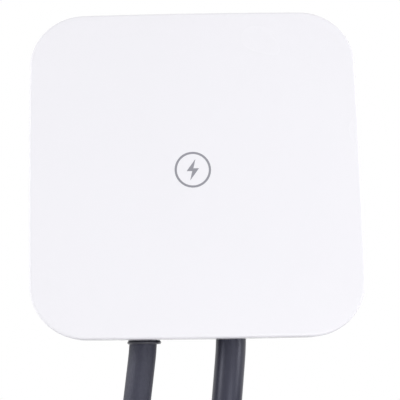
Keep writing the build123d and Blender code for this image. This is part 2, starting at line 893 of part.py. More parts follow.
# Current sensor: a block with a round window that the outgoing cores pass through
with BuildPart() as current_sensor:
    with BuildSketch(wall_plane(board_front)):
        with Locations((charge_x, (sensor_low_z + sensor_high_z) / 2)):
            RectangleRounded(2 * sensor_side, sensor_high_z - sensor_low_z, 1.5)
    extrude(amount=sensor_height)
    with BuildSketch(level_plane(sensor_low_z, charge_x, sensor_centre_d)):
        Circle(sensor_bore)
    extrude(amount=sensor_high_z - sensor_low_z, mode=Mode.SUBTRACT)
current_sensor.part.label = "current_sensor"


def inner_cores(centre_x, pole_points, radii, spread):
    """Cores from the sheath's end, fanned out to the terminals."""
    enter_d = board_front + terminal_depth - 2
    middle = (len(pole_points) - 1) / 2
    with BuildPart() as cores:
        for index, pole in enumerate(pole_points):
            offset = (index - middle) * spread
            route = [
                (centre_x + offset, -cable_depth, sheath_end_z),
                (centre_x + offset, -cable_depth, sensor_low_z - 2),
                (centre_x + offset * 1.02, -sensor_centre_d - 0.5, sensor_high_z + 0.5),
                (pole, -enter_d - 0.2, terminal_low_z - 4),
                (pole + 0.05, -enter_d, terminal_low_z + 7),
            ]
            add(cord_tube(route, radii[index]))
    return cores.part


supply_cores = inner_cores(supply_x, supply_poles, [core_radius] * 3, core_spread_supply)
supply_cores.label = "supply_cores"
charge_core_radii = [core_radius, core_radius, core_radius, core_radius / 2]
charge_cores = inner_cores(charge_x, output_poles, charge_core_radii, core_spread_charge)
charge_cores.label = "charge_cores"

# Control board on four spacers, with its header, processor and radio module
with BuildPart() as board_spacers:
    with BuildSketch(wall_plane(board_front)):
        with Locations(*spacer_points):
            Circle(spacer_radius)
    extrude(amount=control_back - board_front)
    with BuildSketch(wall_plane(control_back)):
        with Locations(*spacer_points):
            Circle(small_screw)
    extrude(amount=-spacer_pilot, mode=Mode.SUBTRACT)
board_spacers.part.label = "board_spacers"
with BuildPart() as control_board:
    with BuildSketch(wall_plane(control_back)):
        with Locations((0, control_z)):
            RectangleRounded(control_width, control_height, 2)
        with Locations(*spacer_points):
            Circle(small_screw + fit_gap, mode=Mode.SUBTRACT)
    extrude(amount=control_thickness)
control_board.part.label = "control_board"
spacer_screws = screw_group(
    spacer_points,
    control_front,
    control_thickness + board_screw_bite,
    small_screw - running_gap,
    small_head,
    small_head_height,
)
spacer_screws.label = "spacer_screws"
with BuildPart() as board_header:
    with BuildSketch(wall_plane(board_front)):
        with Locations((0, control_z + control_height / 2 - 7)):
            Rectangle(header_width, header_thickness)
    extrude(amount=control_back - board_front)
board_header.part.label = "board_header"
with BuildPart() as radio_module:
    add(slotted_block(radio_x, control_z + 14, radio_width, radio_length, control_front, 3, 0.8))
radio_module.part.label = "radio_module"
with BuildPart() as processor:
    add(slotted_block(-4, control_z - 8, processor_side, processor_side, control_front, 1.6, 0.5))
processor.part.label = "processor"

# Current selector: a switch body on the control board and its slotted knob
with BuildPart() as selector_base:
    with BuildSketch(wall_plane(control_front)):
        with Locations((knob_x, knob_z)):
            RectangleRounded(selector_side, selector_side, 1.2)
    extrude(amount=selector_height)
    with BuildSketch(wall_plane(control_front + selector_height)):
        with Locations((knob_x, knob_z)):
            Circle(knob_shaft + running_gap)
    extrude(amount=-selector_bore, mode=Mode.SUBTRACT)
selector_base.part.label = "selector_base"
with BuildPart() as selector_knob:
    shaft_back = control_front + selector_height - selector_bore + running_gap
    with BuildSketch(wall_plane(shaft_back)):
        with Locations((knob_x, knob_z)):
            Circle(knob_shaft)
    extrude(amount=knob_front - shaft_back)
    with BuildSketch(wall_plane(knob_back)):
        with Locations((knob_x, knob_z)):
            Circle(knob_radius)
    extrude(amount=knob_front - knob_back)
    chamfer(selector_knob.faces().sort_by(Axis.Y)[0].edges(), 0.6)
    with BuildSketch(wall_plane(knob_front)):
        with Locations((knob_x, knob_z)):
            SlotOverall(2 * knob_radius - 2, 1.6)
    extrude(amount=-2.2, mode=Mode.SUBTRACT)
    with BuildSketch(wall_plane(knob_front)):
        with Locations((knob_x, knob_z)):
            with PolarLocations(knob_radius + 0.25, knob_notches, start_angle=15):
                Circle(0.7)
    extrude(amount=knob_back - knob_front, mode=Mode.SUBTRACT)
selector_knob.part.label = "selector_knob"

# Supply cable: the stretch that hangs from the box to its coil, and the end below the coil
supply_coil_z = coil_top_z - supply_coil_radius - supply_radius
supply_enter_x = supply_x - 15.6
supply_coil_x = supply_enter_x - supply_coil_radius
supply_coil_end_d = supply_coil_start_d + supply_turns * supply_diameter
supply_points = [
    (supply_x, -cable_depth, sheath_end_z),
    (supply_x + 0.1, -cable_depth, bottom_outside - 0.5),
    (supply_x - 2.7, -cable_depth, bottom_outside - 22),
    (supply_x - 5.7, -36.6, bottom_outside - 44),
    (supply_x - 9.3, -31.8, bottom_outside - 66),
    (supply_x - 12.8, -25.6, supply_coil_z + 31.3),
    (supply_enter_x + 0.3, -supply_coil_start_d - 1.4, supply_coil_z + 12.3),
    (supply_enter_x, -supply_coil_start_d, supply_coil_z - 3),
]
supply_end_points = [
    (supply_enter_x, -supply_coil_end_d, supply_coil_z),
    (supply_enter_x - 0.5, -supply_coil_end_d - 0.5, supply_coil_z - 26),
    (supply_enter_x - 0.1, -supply_coil_end_d - 0.2, supply_coil_z - 52),
    (supply_enter_x + 1.2, -supply_coil_end_d + 0.4, supply_coil_z - 78),
]
supply_cable = cord_tube(supply_points, supply_radius, "supply_cable")
supply_cable.label = "supply_cable"
supply_end = cord_tube(supply_end_points, supply_radius, "supply_end")
supply_end.label = "supply_end"
supply_coil_middle_d = (supply_coil_start_d + supply_coil_end_d) / 2
supply_coil_deep = (supply_turns + 1) * supply_diameter
supply_centre = (supply_coil_x, supply_coil_middle_d, supply_coil_z)
with BuildPart() as supply_coil:
    with BuildSketch(coil_section(*supply_centre)):
        add(coil_outline(supply_coil_radius, supply_diameter, supply_coil_deep, coil_corner))
    revolve(axis=coil_axis(*supply_centre))
supply_coil.part.label = "supply_coil"
supply_straps = strap_group(
    supply_centre, supply_coil_radius, supply_diameter, supply_coil_deep, coil_corner, (125, 235)
)
supply_straps.label = "supply_straps"

# Stripped cores with crimped ferrules at the supply cable's free end
with BuildPart() as supply_end_cores:
    end_way = Vector(*supply_end_points[-1]) - Vector(*supply_end_points[-2])
    end_plane = Plane(origin=supply_end_points[-1], z_dir=end_way)
    with BuildSketch(end_plane):
        with PolarLocations(end_core_ring, 3, start_angle=90):
            Circle(end_core_radius)
    extrude(amount=end_core_length - ferrule_length)
    with BuildSketch(end_plane.offset(end_core_length - ferrule_length)):
        with PolarLocations(end_core_ring, 3, start_angle=90):
            Circle(ferrule_radius)
    extrude(amount=ferrule_length)
supply_end_cores.part.label = "supply_end_cores"

# Charging cable: the stretch to its coil, the coil, and the tail that carries the connector
charge_bundle = charge_layers * charge_diameter
charge_coil_z = coil_top_z - charge_coil_radius - charge_bundle / 2
charge_enter_x = charge_x - 15.15
plug_x = charge_enter_x + 0.2
charge_coil_x = charge_enter_x + charge_coil_radius + charge_diameter
charge_enter_d = cable_depth - charge_diameter
charge_leave_d = cable_depth + charge_diameter
boot_top_z = charge_coil_z - tail_drop
boot_bottom_z = boot_top_z - boot_length
handle_bottom_z = boot_bottom_z - handle_length
nose_bottom_z = handle_bottom_z - nose_length
charge_points = [
    (charge_x, -cable_depth, sheath_end_z),
    (charge_x + 0.05, -cable_depth, bottom_outside - 0.5),
    (charge_x - 2.2, -cable_depth, bottom_outside - 22),
    (charge_x - 4.55, -36.6, bottom_outside - 44),
    (charge_x - 7.55, -31.6, bottom_outside - 70),
    (charge_x - 11.15, -26.0, charge_coil_z + 60.1),
    (charge_x - 13.95, -22.8, charge_coil_z + 31.1),
    (charge_enter_x, -charge_enter_d, charge_coil_z - 3),
]
charge_tail_points = [
    (charge_enter_x, -charge_leave_d, charge_coil_z),
    (charge_enter_x - 0.5, -charge_leave_d + 0.5, charge_coil_z - 29),
    (charge_enter_x - 0.1, -charge_leave_d + 2.2, charge_coil_z - 57),
    (plug_x, -plug_depth - 0.2, boot_top_z - 8),
    (plug_x, -plug_depth, boot_bottom_z + 14),
    (plug_x + 0.1, -plug_depth, boot_bottom_z - 12),
    (plug_x, -plug_depth, boot_bottom_z - 36),
]
charge_cable = cord_tube(charge_points, charge_radius, "charge_cable")
charge_cable.label = "charge_cable"
charge_tail = cord_tube(charge_tail_points, charge_radius, "charge_tail")
charge_tail.label = "charge_tail"
charge_centre = (charge_coil_x, cable_depth, charge_coil_z)
with BuildPart() as charge_coil:
    with BuildSketch(coil_section(*charge_centre)):
        add(coil_outline(charge_coil_radius, charge_bundle, charge_bundle, coil_corner))
    revolve(axis=coil_axis(*charge_centre))
charge_coil.part.label = "charge_coil"
charge_straps = strap_group(
    charge_centre, charge_coil_radius, charge_bundle, charge_bundle, coil_corner, (60, 250, 335)
)
charge_straps.label = "charge_straps"

# Connector boot: ringed rubber bend relief
with BuildPart() as connector_boot:
    with BuildSketch(level_plane(boot_top_z, plug_x, plug_depth)):
        Circle(boot_top_radius)
    with BuildSketch(level_plane(boot_bottom_z, plug_x, plug_depth)):
        Circle(boot_bottom_radius)
    loft()
    with BuildSketch(level_plane(boot_top_z, plug_x, plug_depth)):
        Circle(charge_radius - bush_grip)
    extrude(amount=boot_bottom_z - boot_top_z, mode=Mode.SUBTRACT)
    ring_pitch = boot_length / (boot_rings + 1.5)
    for index in range(boot_rings):
        ring_z = boot_top_z - (index + 1) * ring_pitch
        share = (boot_top_z - ring_z) / boot_length
        ring_radius = boot_top_radius + share * (boot_bottom_radius - boot_top_radius)
        with BuildSketch(level_plane(ring_z, plug_x, plug_depth)):
            Circle(ring_radius + 1)
            Circle(ring_radius - boot_groove, mode=Mode.SUBTRACT)
        extrude(amount=boot_groove * 1.4, mode=Mode.SUBTRACT)
connector_boot.part.label = "connector_boot"

# Connector handle: a lofted grip that swells into a round flange, in two half shells
handle_sections = [
    (boot_bottom_z, 16.0, 16.0),
    (boot_bottom_z - 14, 19.0, 18.5),
    (boot_bottom_z - 46, 17.5, 17.5),
    (boot_bottom_z - 78, 20.5, 21.0),
    (boot_bottom_z - 104, 28.5, 28.5),
    (handle_bottom_z, plug_flange_radius, plug_flange_radius),
]
with BuildPart() as handle_form:
    for height, half_x, half_y in handle_sections:
        with BuildSketch(level_plane(height, plug_x, plug_depth)):
            Ellipse(half_x, half_y)
    loft()
    with BuildSketch(level_plane(boot_bottom_z, plug_x, plug_depth)):
        Circle(handle_bore)
    extrude(amount=-(boot_bottom_z - handle_bottom_z), mode=Mode.SUBTRACT)
handle_screw_points = [
    (plug_x + side * handle_screw_x, boot_bottom_z - drop) for drop in (24, 68, 110) for side in (-1, 1)
]
screw_seat_d = plug_depth - handle_screw_seat
screw_tip_d = screw_seat_d + handle_screw_length


def handle_half(toward_viewer):
    """One half of the handle, split along the plane through the connector's axis."""
    side = -1 if toward_viewer else 1
    with BuildPart() as half:
        add(handle_form.part)
        with BuildSketch(wall_plane(plug_depth)):
            with Locations((plug_x, (boot_bottom_z + handle_bottom_z) / 2)):
                Rectangle(90, 160)
        extrude(amount=side * 60, mode=Mode.SUBTRACT)
        # Screw wells in the half at the back, and pilot holes in the front one
        if toward_viewer:
            with BuildSketch(wall_plane(plug_depth)):
                with Locations(*handle_screw_points):
                    Circle(small_screw)
            extrude(amount=screw_tip_d - plug_depth, mode=Mode.SUBTRACT)
        else:
            with BuildSketch(wall_plane(plug_depth)):
                with Locations(*handle_screw_points):
                    Circle(small_screw + fit_gap)
            extrude(amount=-plug_flange_radius, mode=Mode.SUBTRACT)
            with BuildSketch(wall_plane(screw_seat_d)):
                with Locations(*handle_screw_points):
                    Circle(small_head + well_gap)
            extrude(amount=-plug_flange_radius, mode=Mode.SUBTRACT)
    return half.part


connector_front = handle_half(True)
connector_front.label = "connector_front"
connector_back = handle_half(False)
connector_back.label = "connector_back"
connector_screws = screw_group(
    handle_screw_points,
    screw_seat_d,
    handle_screw_length,
    small_screw - running_gap,
    small_head,
    small_head_height,
    toward_viewer=False,
)
connector_screws.label = "connector_screws"

# Connector nose: a block with one flat side, a raised rim and seven contact chambers
contact_points = [
    (0, 0, 1.0),
    (-14.6, 0.5, 1.0),
    (14.6, 0.5, 1.0),
    (-8.2, -12.6, 1.0),
    (8.2, -12.6, 1.0),
    (-6.8, 11.0, signal_scale),
    (6.8, 11.0, signal_scale),
]
with BuildPart() as connector_nose:
    with BuildSketch(level_plane(handle_bottom_z, plug_x, plug_depth)) as nose_outline:
        Circle(nose_radius)
        with Locations((0, nose_flat + nose_radius)):
            Rectangle(4 * nose_radius, 2 * nose_radius, mode=Mode.SUBTRACT)
        fillet(nose_outline.vertices(), nose_flat_round)
    extrude(amount=nose_bottom_z - handle_bottom_z)
    with BuildSketch(level_plane(nose_bottom_z, plug_x, plug_depth)):
        for x, y, scale in contact_points:
            with Locations((x, y)):
                Circle(chamber_radius * scale)
    extrude(amount=sleeve_length + nose_recess, mode=Mode.SUBTRACT)
    tip = connector_nose.faces().sort_by(Axis.Z)[0].outer_wire().edges()
    chamfer(tip, nose_tip_chamfer)
connector_nose.part.label = "connector_nose"

# Contact sleeves, open towards the nose
with BuildPart() as connector_contacts:
    for x, y, scale in contact_points:
        with BuildSketch(level_plane(nose_bottom_z + nose_recess, plug_x, plug_depth)):
            with Locations((x, y)):
                Circle(sleeve_radius * scale)
                Circle(sleeve_bore * scale, mode=Mode.SUBTRACT)
        extrude(amount=sleeve_length)
connector_contacts.part.label = "connector_contacts"

pieces = {
    "wall_bracket": wall_bracket.part,
    "rear_housing": rear_housing.part,
    "housing_seal": housing_seal.part,
    "light_ring": light_ring.part,
    "inner_cover": inner_cover.part,
    "inner_cover_screws": inner_cover_screws,
    "cover_grommets": cover_grommets.part,
    "front_cover": front_cover.part,
    "securing_screw": securing_screw.part,
    "supply_bush": supply_bush,
    "charge_bush": charge_bush,
    "supply_clamp": supply_clamp,
    "charge_clamp": charge_clamp,
    "clamp_screws": clamp_screws,
    "main_board": main_board.part,
    "board_screws": board_screws,
    "relays": relays.part,
    "power_module": power_module.part,
    "capacitors": capacitors.part,
    "fuse_holder": fuse_holder.part,
    "supply_terminals": supply_terminals,
    "output_terminals": output_terminals,
    "terminal_screws": terminal_screws,
    "current_sensor": current_sensor.part,
    "supply_cores": supply_cores,
    "charge_cores": charge_cores,
    "board_spacers": board_spacers.part,
    "control_board": control_board.part,
    "spacer_screws": spacer_screws,
    "board_header": board_header.part,
    "radio_module": radio_module.part,
    "processor": processor.part,
    "selector_base": selector_base.part,
    "selector_knob": selector_knob.part,
    "supply_cable": supply_cable,
    "supply_coil": supply_coil.part,
    "supply_straps": supply_straps,
    "supply_end": supply_end,
    "supply_end_cores": supply_end_cores.part,
    "charge_cable": charge_cable,
    "charge_coil": charge_coil.part,
    "charge_straps": charge_straps,
    "charge_tail": charge_tail,
    "connector_boot": connector_boot.part,
    "connector_front": connector_front,
    "connector_back": connector_back,
    "connector_screws": connector_screws,
    "connector_nose": connector_nose.part,
    "connector_contacts": connector_contacts.part,
}
os.makedirs("parts", exist_ok=True)
for name, piece in pieces.items():
    piece.label = name
    export_step(piece, f"parts/{name}.step")
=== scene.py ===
"""Wall charging box: the visual model, built around the packed frame."""

import json
from math import atan2, cos, pi, radians, sin, sqrt

import bmesh
import bpy
from mathutils import Matrix, Vector


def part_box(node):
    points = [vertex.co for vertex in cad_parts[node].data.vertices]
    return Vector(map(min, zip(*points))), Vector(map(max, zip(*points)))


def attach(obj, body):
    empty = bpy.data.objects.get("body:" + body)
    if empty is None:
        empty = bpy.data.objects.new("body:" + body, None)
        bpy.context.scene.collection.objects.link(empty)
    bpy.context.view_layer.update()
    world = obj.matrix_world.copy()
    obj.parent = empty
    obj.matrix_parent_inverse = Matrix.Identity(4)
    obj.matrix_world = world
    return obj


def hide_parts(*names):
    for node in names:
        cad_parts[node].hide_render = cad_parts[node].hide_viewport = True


bl_info = {
    "name": "Wall charging box",
    "version": (1, 0, 0),
    "blender": (4, 5, 0),
    "location": "3D View > Sidebar > Charging box",
    "description": "Builds a wall charging box with its cables and connector around its packed frame",
    "category": "Object",
}

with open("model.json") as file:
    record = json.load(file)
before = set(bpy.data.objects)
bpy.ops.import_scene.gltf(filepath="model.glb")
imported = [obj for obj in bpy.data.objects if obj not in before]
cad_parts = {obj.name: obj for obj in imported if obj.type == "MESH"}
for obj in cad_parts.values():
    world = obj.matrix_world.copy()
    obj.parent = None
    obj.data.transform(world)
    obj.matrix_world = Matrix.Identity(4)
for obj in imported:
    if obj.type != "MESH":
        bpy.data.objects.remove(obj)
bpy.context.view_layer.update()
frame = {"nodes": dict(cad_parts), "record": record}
cover_low, cover_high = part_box("front_cover")
slot_of = {piece["node"]: piece["material_slot"] for piece in frame["record"]["subparts"]}
body_of = {node: body for body, members in frame["record"]["behaviour"]["bodies"].items() for node in members}

# Routes in metres, the same points as the cables' solids follow
supply_lead = [
    (-0.0266, -0.038, -0.057),
    (-0.0265, -0.038, -0.0805),
    (-0.0293, -0.038, -0.102),
    (-0.0323, -0.0366, -0.124),
    (-0.0359, -0.0318, -0.146),
    (-0.0394, -0.0256, -0.169),
    (-0.0419, -0.0214, -0.188),
]
supply_tail = [
    (-0.0427, -0.0643, -0.2263),
    (-0.0423, -0.0640, -0.2523),
    (-0.0410, -0.0634, -0.2783),
]
supply_coil_centre = (-0.1152, -0.2003)
supply_coil_depth = 0.020
charge_lead = [
    (0.01935, -0.038, -0.057),
    (0.0194, -0.038, -0.0805),
    (0.01715, -0.038, -0.102),
    (0.0148, -0.0366, -0.124),
    (0.0118, -0.0316, -0.150),
    (0.0082, -0.0260, -0.177),
    (0.0054, -0.0228, -0.206),
]
charge_tail = [
    (0.0037, -0.0533, -0.2661),
    (0.0041, -0.0516, -0.2941),
    (0.0044, -0.0502, -0.3220),
    (0.0044, -0.0500, -0.3500),
    (0.0045, -0.0500, -0.3760),
    (0.0044, -0.0500, -0.4000),
]
charge_coil_centre = (0.1134, -0.2371)
charge_coil_depth = 0.0222
# The cells of the coil's bundle in winding order, as layer from outside and column from the wall
charge_cells = [(0, 0), (0, 1), (1, 1), (1, 0), (2, 0), (2, 1), (2, 2), (1, 2), (0, 2)]
# The part of a turn that each cell takes, so that nine cells make eight turns
charge_cell_turn = radians(320.0)


# Settings


def metres(name, description, default):
    """A length."""
    return bpy.props.FloatProperty(name=name, description=description, default=default, unit="LENGTH")


def strength(name, description, default):
    """A light's power or strength."""
    return bpy.props.FloatProperty(name=name, description=description, default=default, min=0.0)


def tone(name, description, default):
    """A colour."""
    return bpy.props.FloatVectorProperty(name=name, description=description, default=default, subtype="COLOR")


def direction(name, description, default):
    """A direction."""
    return bpy.props.FloatVectorProperty(name=name, description=description, default=default, subtype="DIRECTION")


class WallboxStageSettings(bpy.types.PropertyGroup):
    """Camera, lamps and floor."""

    camera_place: bpy.props.FloatVectorProperty(
        name="Camera place", description="Where the camera stands", subtype="TRANSLATION", unit="LENGTH",
        default=(-0.02374, -0.60319, -0.09288),
    )
    camera_right: direction("Camera right", "The direction of the picture's right", (0.99982, 0.01298, -0.01360))
    camera_up: direction("Camera up", "The direction of the picture's top", (0.01562, -0.17132, 0.98509))
    lens: bpy.props.FloatProperty(name="Lens", description="Focal length in millimetres", default=95.67, min=10.0)
    shift: bpy.props.FloatVectorProperty(name="Shift", description="Lens shift", size=2, default=(0.16, -0.06))
    floor_height: metres("Floor height", "Height of the floor under the part", -0.60)
    ambient: strength("Ambient", "Strength of the even light from all sides", 0.60)
    key_power: strength("Key power", "Power of the lamp in front, in watts", 1.8)
    left_power: strength("Left power", "Power of the tall lamp on the left, in watts", 9.5)
    right_power: strength("Right power", "Power of the tall lamp on the right, in watts", 11.0)
    far_power: strength("Far power", "Power of the lamp behind on the left, in watts", 2.0)


class WallboxCoverSettings(bpy.types.PropertyGroup):
    """Sizes of the front cover and of its mark."""

    width: metres("Width", "Width across the cover", cover_high.x - cover_low.x)
    height: metres("Height", "Height of the cover", cover_high.z - cover_low.z)
    corner: metres("Corner", "Corner radius", 0.0275)
    bow: metres("Bow", "How far each side swells outwards", 0.00046)
    wall: metres("Wall", "Wall thickness", 0.0026)
    edge_round: metres("Edge round", "Radius along the front edge", 0.0015)
    front: metres("Front", "Distance of the crown from the wall", -cover_low.y)
    back: metres("Back", "Distance of the skirt's rim from the wall", -cover_high.y)
    crown_radius: metres("Crown radius", "Radius of the crowned face", 2.3)
    mark_radius: metres("Mark radius", "Radius of the printed ring", 0.0085)
    mark_line: metres("Mark line", "Width of the printed lines", 0.0011)
    ink: metres("Ink", "Thickness of the printed film", 0.00002)
    colour: tone("Colour", "Colour of the cover", (0.858, 0.850, 0.888))


class WallboxCordSettings(bpy.types.PropertyGroup):
    """Diameters, lengths and colours of the two cables."""

    supply_diameter: metres("Supply diameter", "Outside diameter of the supply cable", 0.0146)
    supply_radius: metres("Supply coil radius", "Mean radius of the supply coil", 0.073)
    supply_turns: bpy.props.IntProperty(name="Supply turns", description="Turns in the supply coil", default=3)
    ferrule: metres("Ferrule", "Length of the ferrule on each bare core", 0.0122)
    charge_diameter: metres("Charging diameter", "Outside diameter of the charging cable", 0.0158)
    charge_radius: metres("Charging coil radius", "Mean radius of the charging coil", 0.0934)
    points_per_cell: bpy.props.IntProperty(
        name="Points per cell", description="Route points along each cell of the charging coil", default=11
    )
    points_per_turn: bpy.props.IntProperty(
        name="Points per turn", description="Route points along each turn of the supply coil", default=12
    )
    supply_colour: tone("Supply colour", "Colour of the supply cable", (0.021, 0.021, 0.037))
    charge_colour: tone("Charging colour", "Colour of the charging cable", (0.019, 0.019, 0.035))


class WallboxEntrySettings(bpy.types.PropertyGroup):
    """Sizes of the collars where the cables leave the box."""

    collar_wall: metres("Collar wall", "How far a collar stands out from its cable", 0.00165)
    collar_lip: metres("Collar lip", "Thickness of a collar's rounded lip", 0.0017)
    supply_drop: metres("Supply drop", "How far the supply collar hangs below the box", 0.0043)
    charge_drop: metres("Charging drop", "How far the charging collar hangs below the box", 0.0019)


class WallboxScrewSettings(bpy.types.PropertyGroup):
    """Sizes that the screws share."""

    small_head: metres("Small head", "Height of a small screw's head", 0.0016)
    large_head: metres("Large head", "Height of the securing screw's head", 0.0024)
    small_shank: metres("Small shank", "Radius of a small screw's thread", 0.00145)
    large_shank: metres("Large shank", "Radius of the securing screw's thread", 0.00175)
    pitch: metres("Pitch", "Distance from thread to thread", 0.0012)


# Node building


def set_inputs(tree, node, inputs):
    """Links or sets a node's inputs."""
    for key, value in inputs.items():
        if isinstance(value, bpy.types.NodeSocket):
            tree.links.new(value, node.inputs[key])
        else:
            node.inputs[key].default_value = value
    return node


def add_node(tree, kind, inputs=None, **settings):
    """A node with its settings and inputs."""
    made = tree.nodes.new(kind)
    for key, value in settings.items():
        setattr(made, key, value)
    return set_inputs(tree, made, inputs or {})


def maths(tree, operation, first, second=0.0):
    """One sum on two numbers or sockets."""
    return add_node(tree, "ShaderNodeMath", {0: first, 1: second}, operation=operation).outputs[0]


def times(tree, first, second):
    return maths(tree, "MULTIPLY", first, second)


def plus(tree, first, second):
    return maths(tree, "ADD", first, second)


def axes(tree, vector):
    """A vector's X, Y and Z."""
    return add_node(tree, "ShaderNodeSeparateXYZ", {"Vector": vector}).outputs


def vector_of(tree, x=0.0, y=0.0, z=0.0):
    """A vector from numbers or sockets."""
    return add_node(tree, "ShaderNodeCombineXYZ", {"X": x, "Y": y, "Z": z}).outputs[0]


def spread(tree, value, low, high, to_low=0.0, to_high=1.0, **settings):
    """A value moved from one range to another."""
    return add_node(tree, "ShaderNodeMapRange", {
        "Value": value, "From Min": low, "From Max": high, "To Min": to_low, "To Max": to_high,
    }, **settings).outputs["Result"]


def noise(tree, point, scale, detail, roughness=0.5):
    """A noise pattern's value at a point."""
    return add_node(tree, "ShaderNodeTexNoise", {
        "Vector": point, "Scale": scale, "Detail": detail, "Roughness": roughness,
    }).outputs["Fac"]


def mix(tree, share, first, second):
    """Two colours mixed by a share."""
    return add_node(tree, "ShaderNodeMix", {0: share, 6: first, 7: second}, data_type="RGBA").outputs[2]


def object_point(tree):
    return tree.nodes.new("ShaderNodeTexCoord").outputs["Object"]


def effect_group(name, inputs, outputs):
    """An empty shader group with named sockets, and its inputs."""
    tree = bpy.data.node_groups.new(name, "ShaderNodeTree")
    for label, value in inputs.items():
        kind = "NodeSocketFloat" if isinstance(value, float) else "NodeSocketColor"
        tree.interface.new_socket(label, in_out="INPUT", socket_type=kind).default_value = value
    for label in outputs:
        kind = "NodeSocketColor" if label == "Colour" else "NodeSocketFloat"
        tree.interface.new_socket(label, in_out="OUTPUT", socket_type=kind)
    return tree, tree.nodes.new("NodeGroupInput").outputs


def grain_group():
    """Fine moulded grain with slow drift of colour and gloss."""
    tree, given = effect_group("moulded grain", {
        "Colour": (0.5, 0.5, 0.5, 1), "Drift": 0.05, "Grain scale": 900.0, "Gloss low": 0.3, "Gloss high": 0.4,
    }, ("Colour", "Roughness", "Height"))
    point = object_point(tree)
    slow = noise(tree, point, 14.0, 2.0)
    swing = times(tree, spread(tree, slow, 0.3, 0.7, -1.0, 1.0), given["Drift"])
    scaled = add_node(tree, "ShaderNodeVectorMath", {0: given["Colour"], "Scale": plus(tree, swing, 1.0)},
                      operation="SCALE")
    add_node(tree, "NodeGroupOutput", {
        "Colour": scaled.outputs[0],
        "Roughness": spread(tree, slow, 0.3, 0.7, given["Gloss low"], given["Gloss high"]),
        "Height": noise(tree, point, given["Grain scale"], 3.0),
    })
    return tree


def dust_group():
    """Settled dust: a mask on faces that look up, broken by noise, mixed over a colour."""
    tree, given = effect_group("settled dust", {
        "Colour": (0.5, 0.5, 0.5, 1), "Dust": (0.5, 0.49, 0.47, 1), "Amount": 0.1,
    }, ("Colour",))
    normal = tree.nodes.new("ShaderNodeNewGeometry").outputs["Normal"]
    facing = spread(tree, axes(tree, normal)["Z"], -0.1, 0.9, 0.15, 1.0)
    specks = spread(tree, noise(tree, object_point(tree), 260.0, 6.0, 0.7), 0.45, 0.75)
    share = times(tree, times(tree, facing, specks), given["Amount"])
    add_node(tree, "NodeGroupOutput", {"Colour": mix(tree, share, given["Colour"], given["Dust"])})
    return tree


def lines_group():
    """Long fine lines along one direction, as on rolled or brushed metal."""
    tree, given = effect_group("drawn lines", {
        "Across": 2500.0, "Along": 40.0, "Gloss low": 0.25, "Gloss high": 0.5,
    }, ("Height", "Roughness"))
    stretch = vector_of(tree, given["Along"], given["Across"], given["Across"])
    point = add_node(tree, "ShaderNodeVectorMath", {0: object_point(tree), 1: stretch}, operation="MULTIPLY")
    lines = noise(tree, point.outputs[0], 1.0, 3.0)
    add_node(tree, "NodeGroupOutput", {
        "Height": lines, "Roughness": spread(tree, lines, 0.3, 0.7, given["Gloss low"], given["Gloss high"]),
    })
    return tree


def weave_group():
    """Crossed threads in all three directions, for woven straps."""
    tree, given = effect_group("woven threads", {"Threads": 900.0}, ("Height",))
    point = object_point(tree)
    bands = [add_node(tree, "ShaderNodeTexWave", {
        "Vector": point, "Scale": given["Threads"], "Distortion": 0.4, "Detail": 1.0,
    }, bands_direction=way).outputs["Fac"] for way in "XYZ"]
    add_node(tree, "NodeGroupOutput", {"Height": plus(tree, plus(tree, bands[0], bands[1]), bands[2])})
    return tree


def tracks_group():
    """Copper tracks under solder resist: thin paler lines, with a mask of where they run."""
    tree, given = effect_group("board tracks", {
        "Colour": (0.01, 0.09, 0.04, 1), "Track": (0.03, 0.18, 0.08, 1), "Scale": 90.0,
    }, ("Colour", "Mask"))
    point = axes(tree, object_point(tree))
    tracks = add_node(tree, "ShaderNodeTexBrick", {
        "Vector": vector_of(tree, point["X"], point["Z"]), "Color1": (0, 0, 0, 1), "Color2": (0, 0, 0, 1),
        "Mortar": (1, 1, 1, 1), "Scale": given["Scale"], "Mortar Size": 0.05, "Mortar Smooth": 0.1,
        "Brick Width": 1.3, "Row Height": 0.22,
    }).outputs["Fac"]
    add_node(tree, "NodeGroupOutput", {"Colour": mix(tree, tracks, given["Colour"], given["Track"]), "Mask": tracks})
    return tree


groups = {}


def effect(tree, builder, inputs):
    """A shared effect placed in a material with its own values."""
    if builder not in groups:
        groups[builder] = builder()
    return add_node(tree, "ShaderNodeGroup", inputs, node_tree=groups[builder]).outputs


# Finishes


def new_material(name):
    """A material with only a Principled shader and its output."""
    made = bpy.data.materials.new(name)
    made.use_nodes = True
    return made, made.node_tree


def dressed(made, inputs, height=None, bump=0.0, depth=0.0):
    """A material with its shader's inputs, and bump where a height is given."""
    tree = made.node_tree
    if height is not None:
        bumped = add_node(tree, "ShaderNodeBump", {"Height": height, "Strength": bump, "Distance": depth})
        inputs["Normal"] = bumped.outputs["Normal"]
    set_inputs(tree, tree.nodes["Principled BSDF"], inputs)
    return made


def moulded(name, colour, gloss, grain=900.0, bump=0.05, drift=0.03, dust=0.05, coat=0.0, ior=1.46, tint=(1, 1, 1)):
    """Moulded plastic, rubber or coated metal: grain, drift of gloss and a little settled dust."""
    made, tree = new_material(name)
    base = effect(tree, grain_group, {
        "Colour": (*colour, 1.0), "Drift": drift, "Grain scale": grain,
        "Gloss low": gloss - 0.03, "Gloss high": gloss + 0.04,
    })
    dusty = effect(tree, dust_group, {"Colour": base["Colour"], "Amount": dust})
    return dressed(made, {
        "Base Color": dusty["Colour"], "Roughness": base["Roughness"], "Specular Tint": (*tint, 1.0),
        "Coat Weight": coat, "Coat Roughness": 0.06, "IOR": ior,
    }, base["Height"], bump, 0.0005)


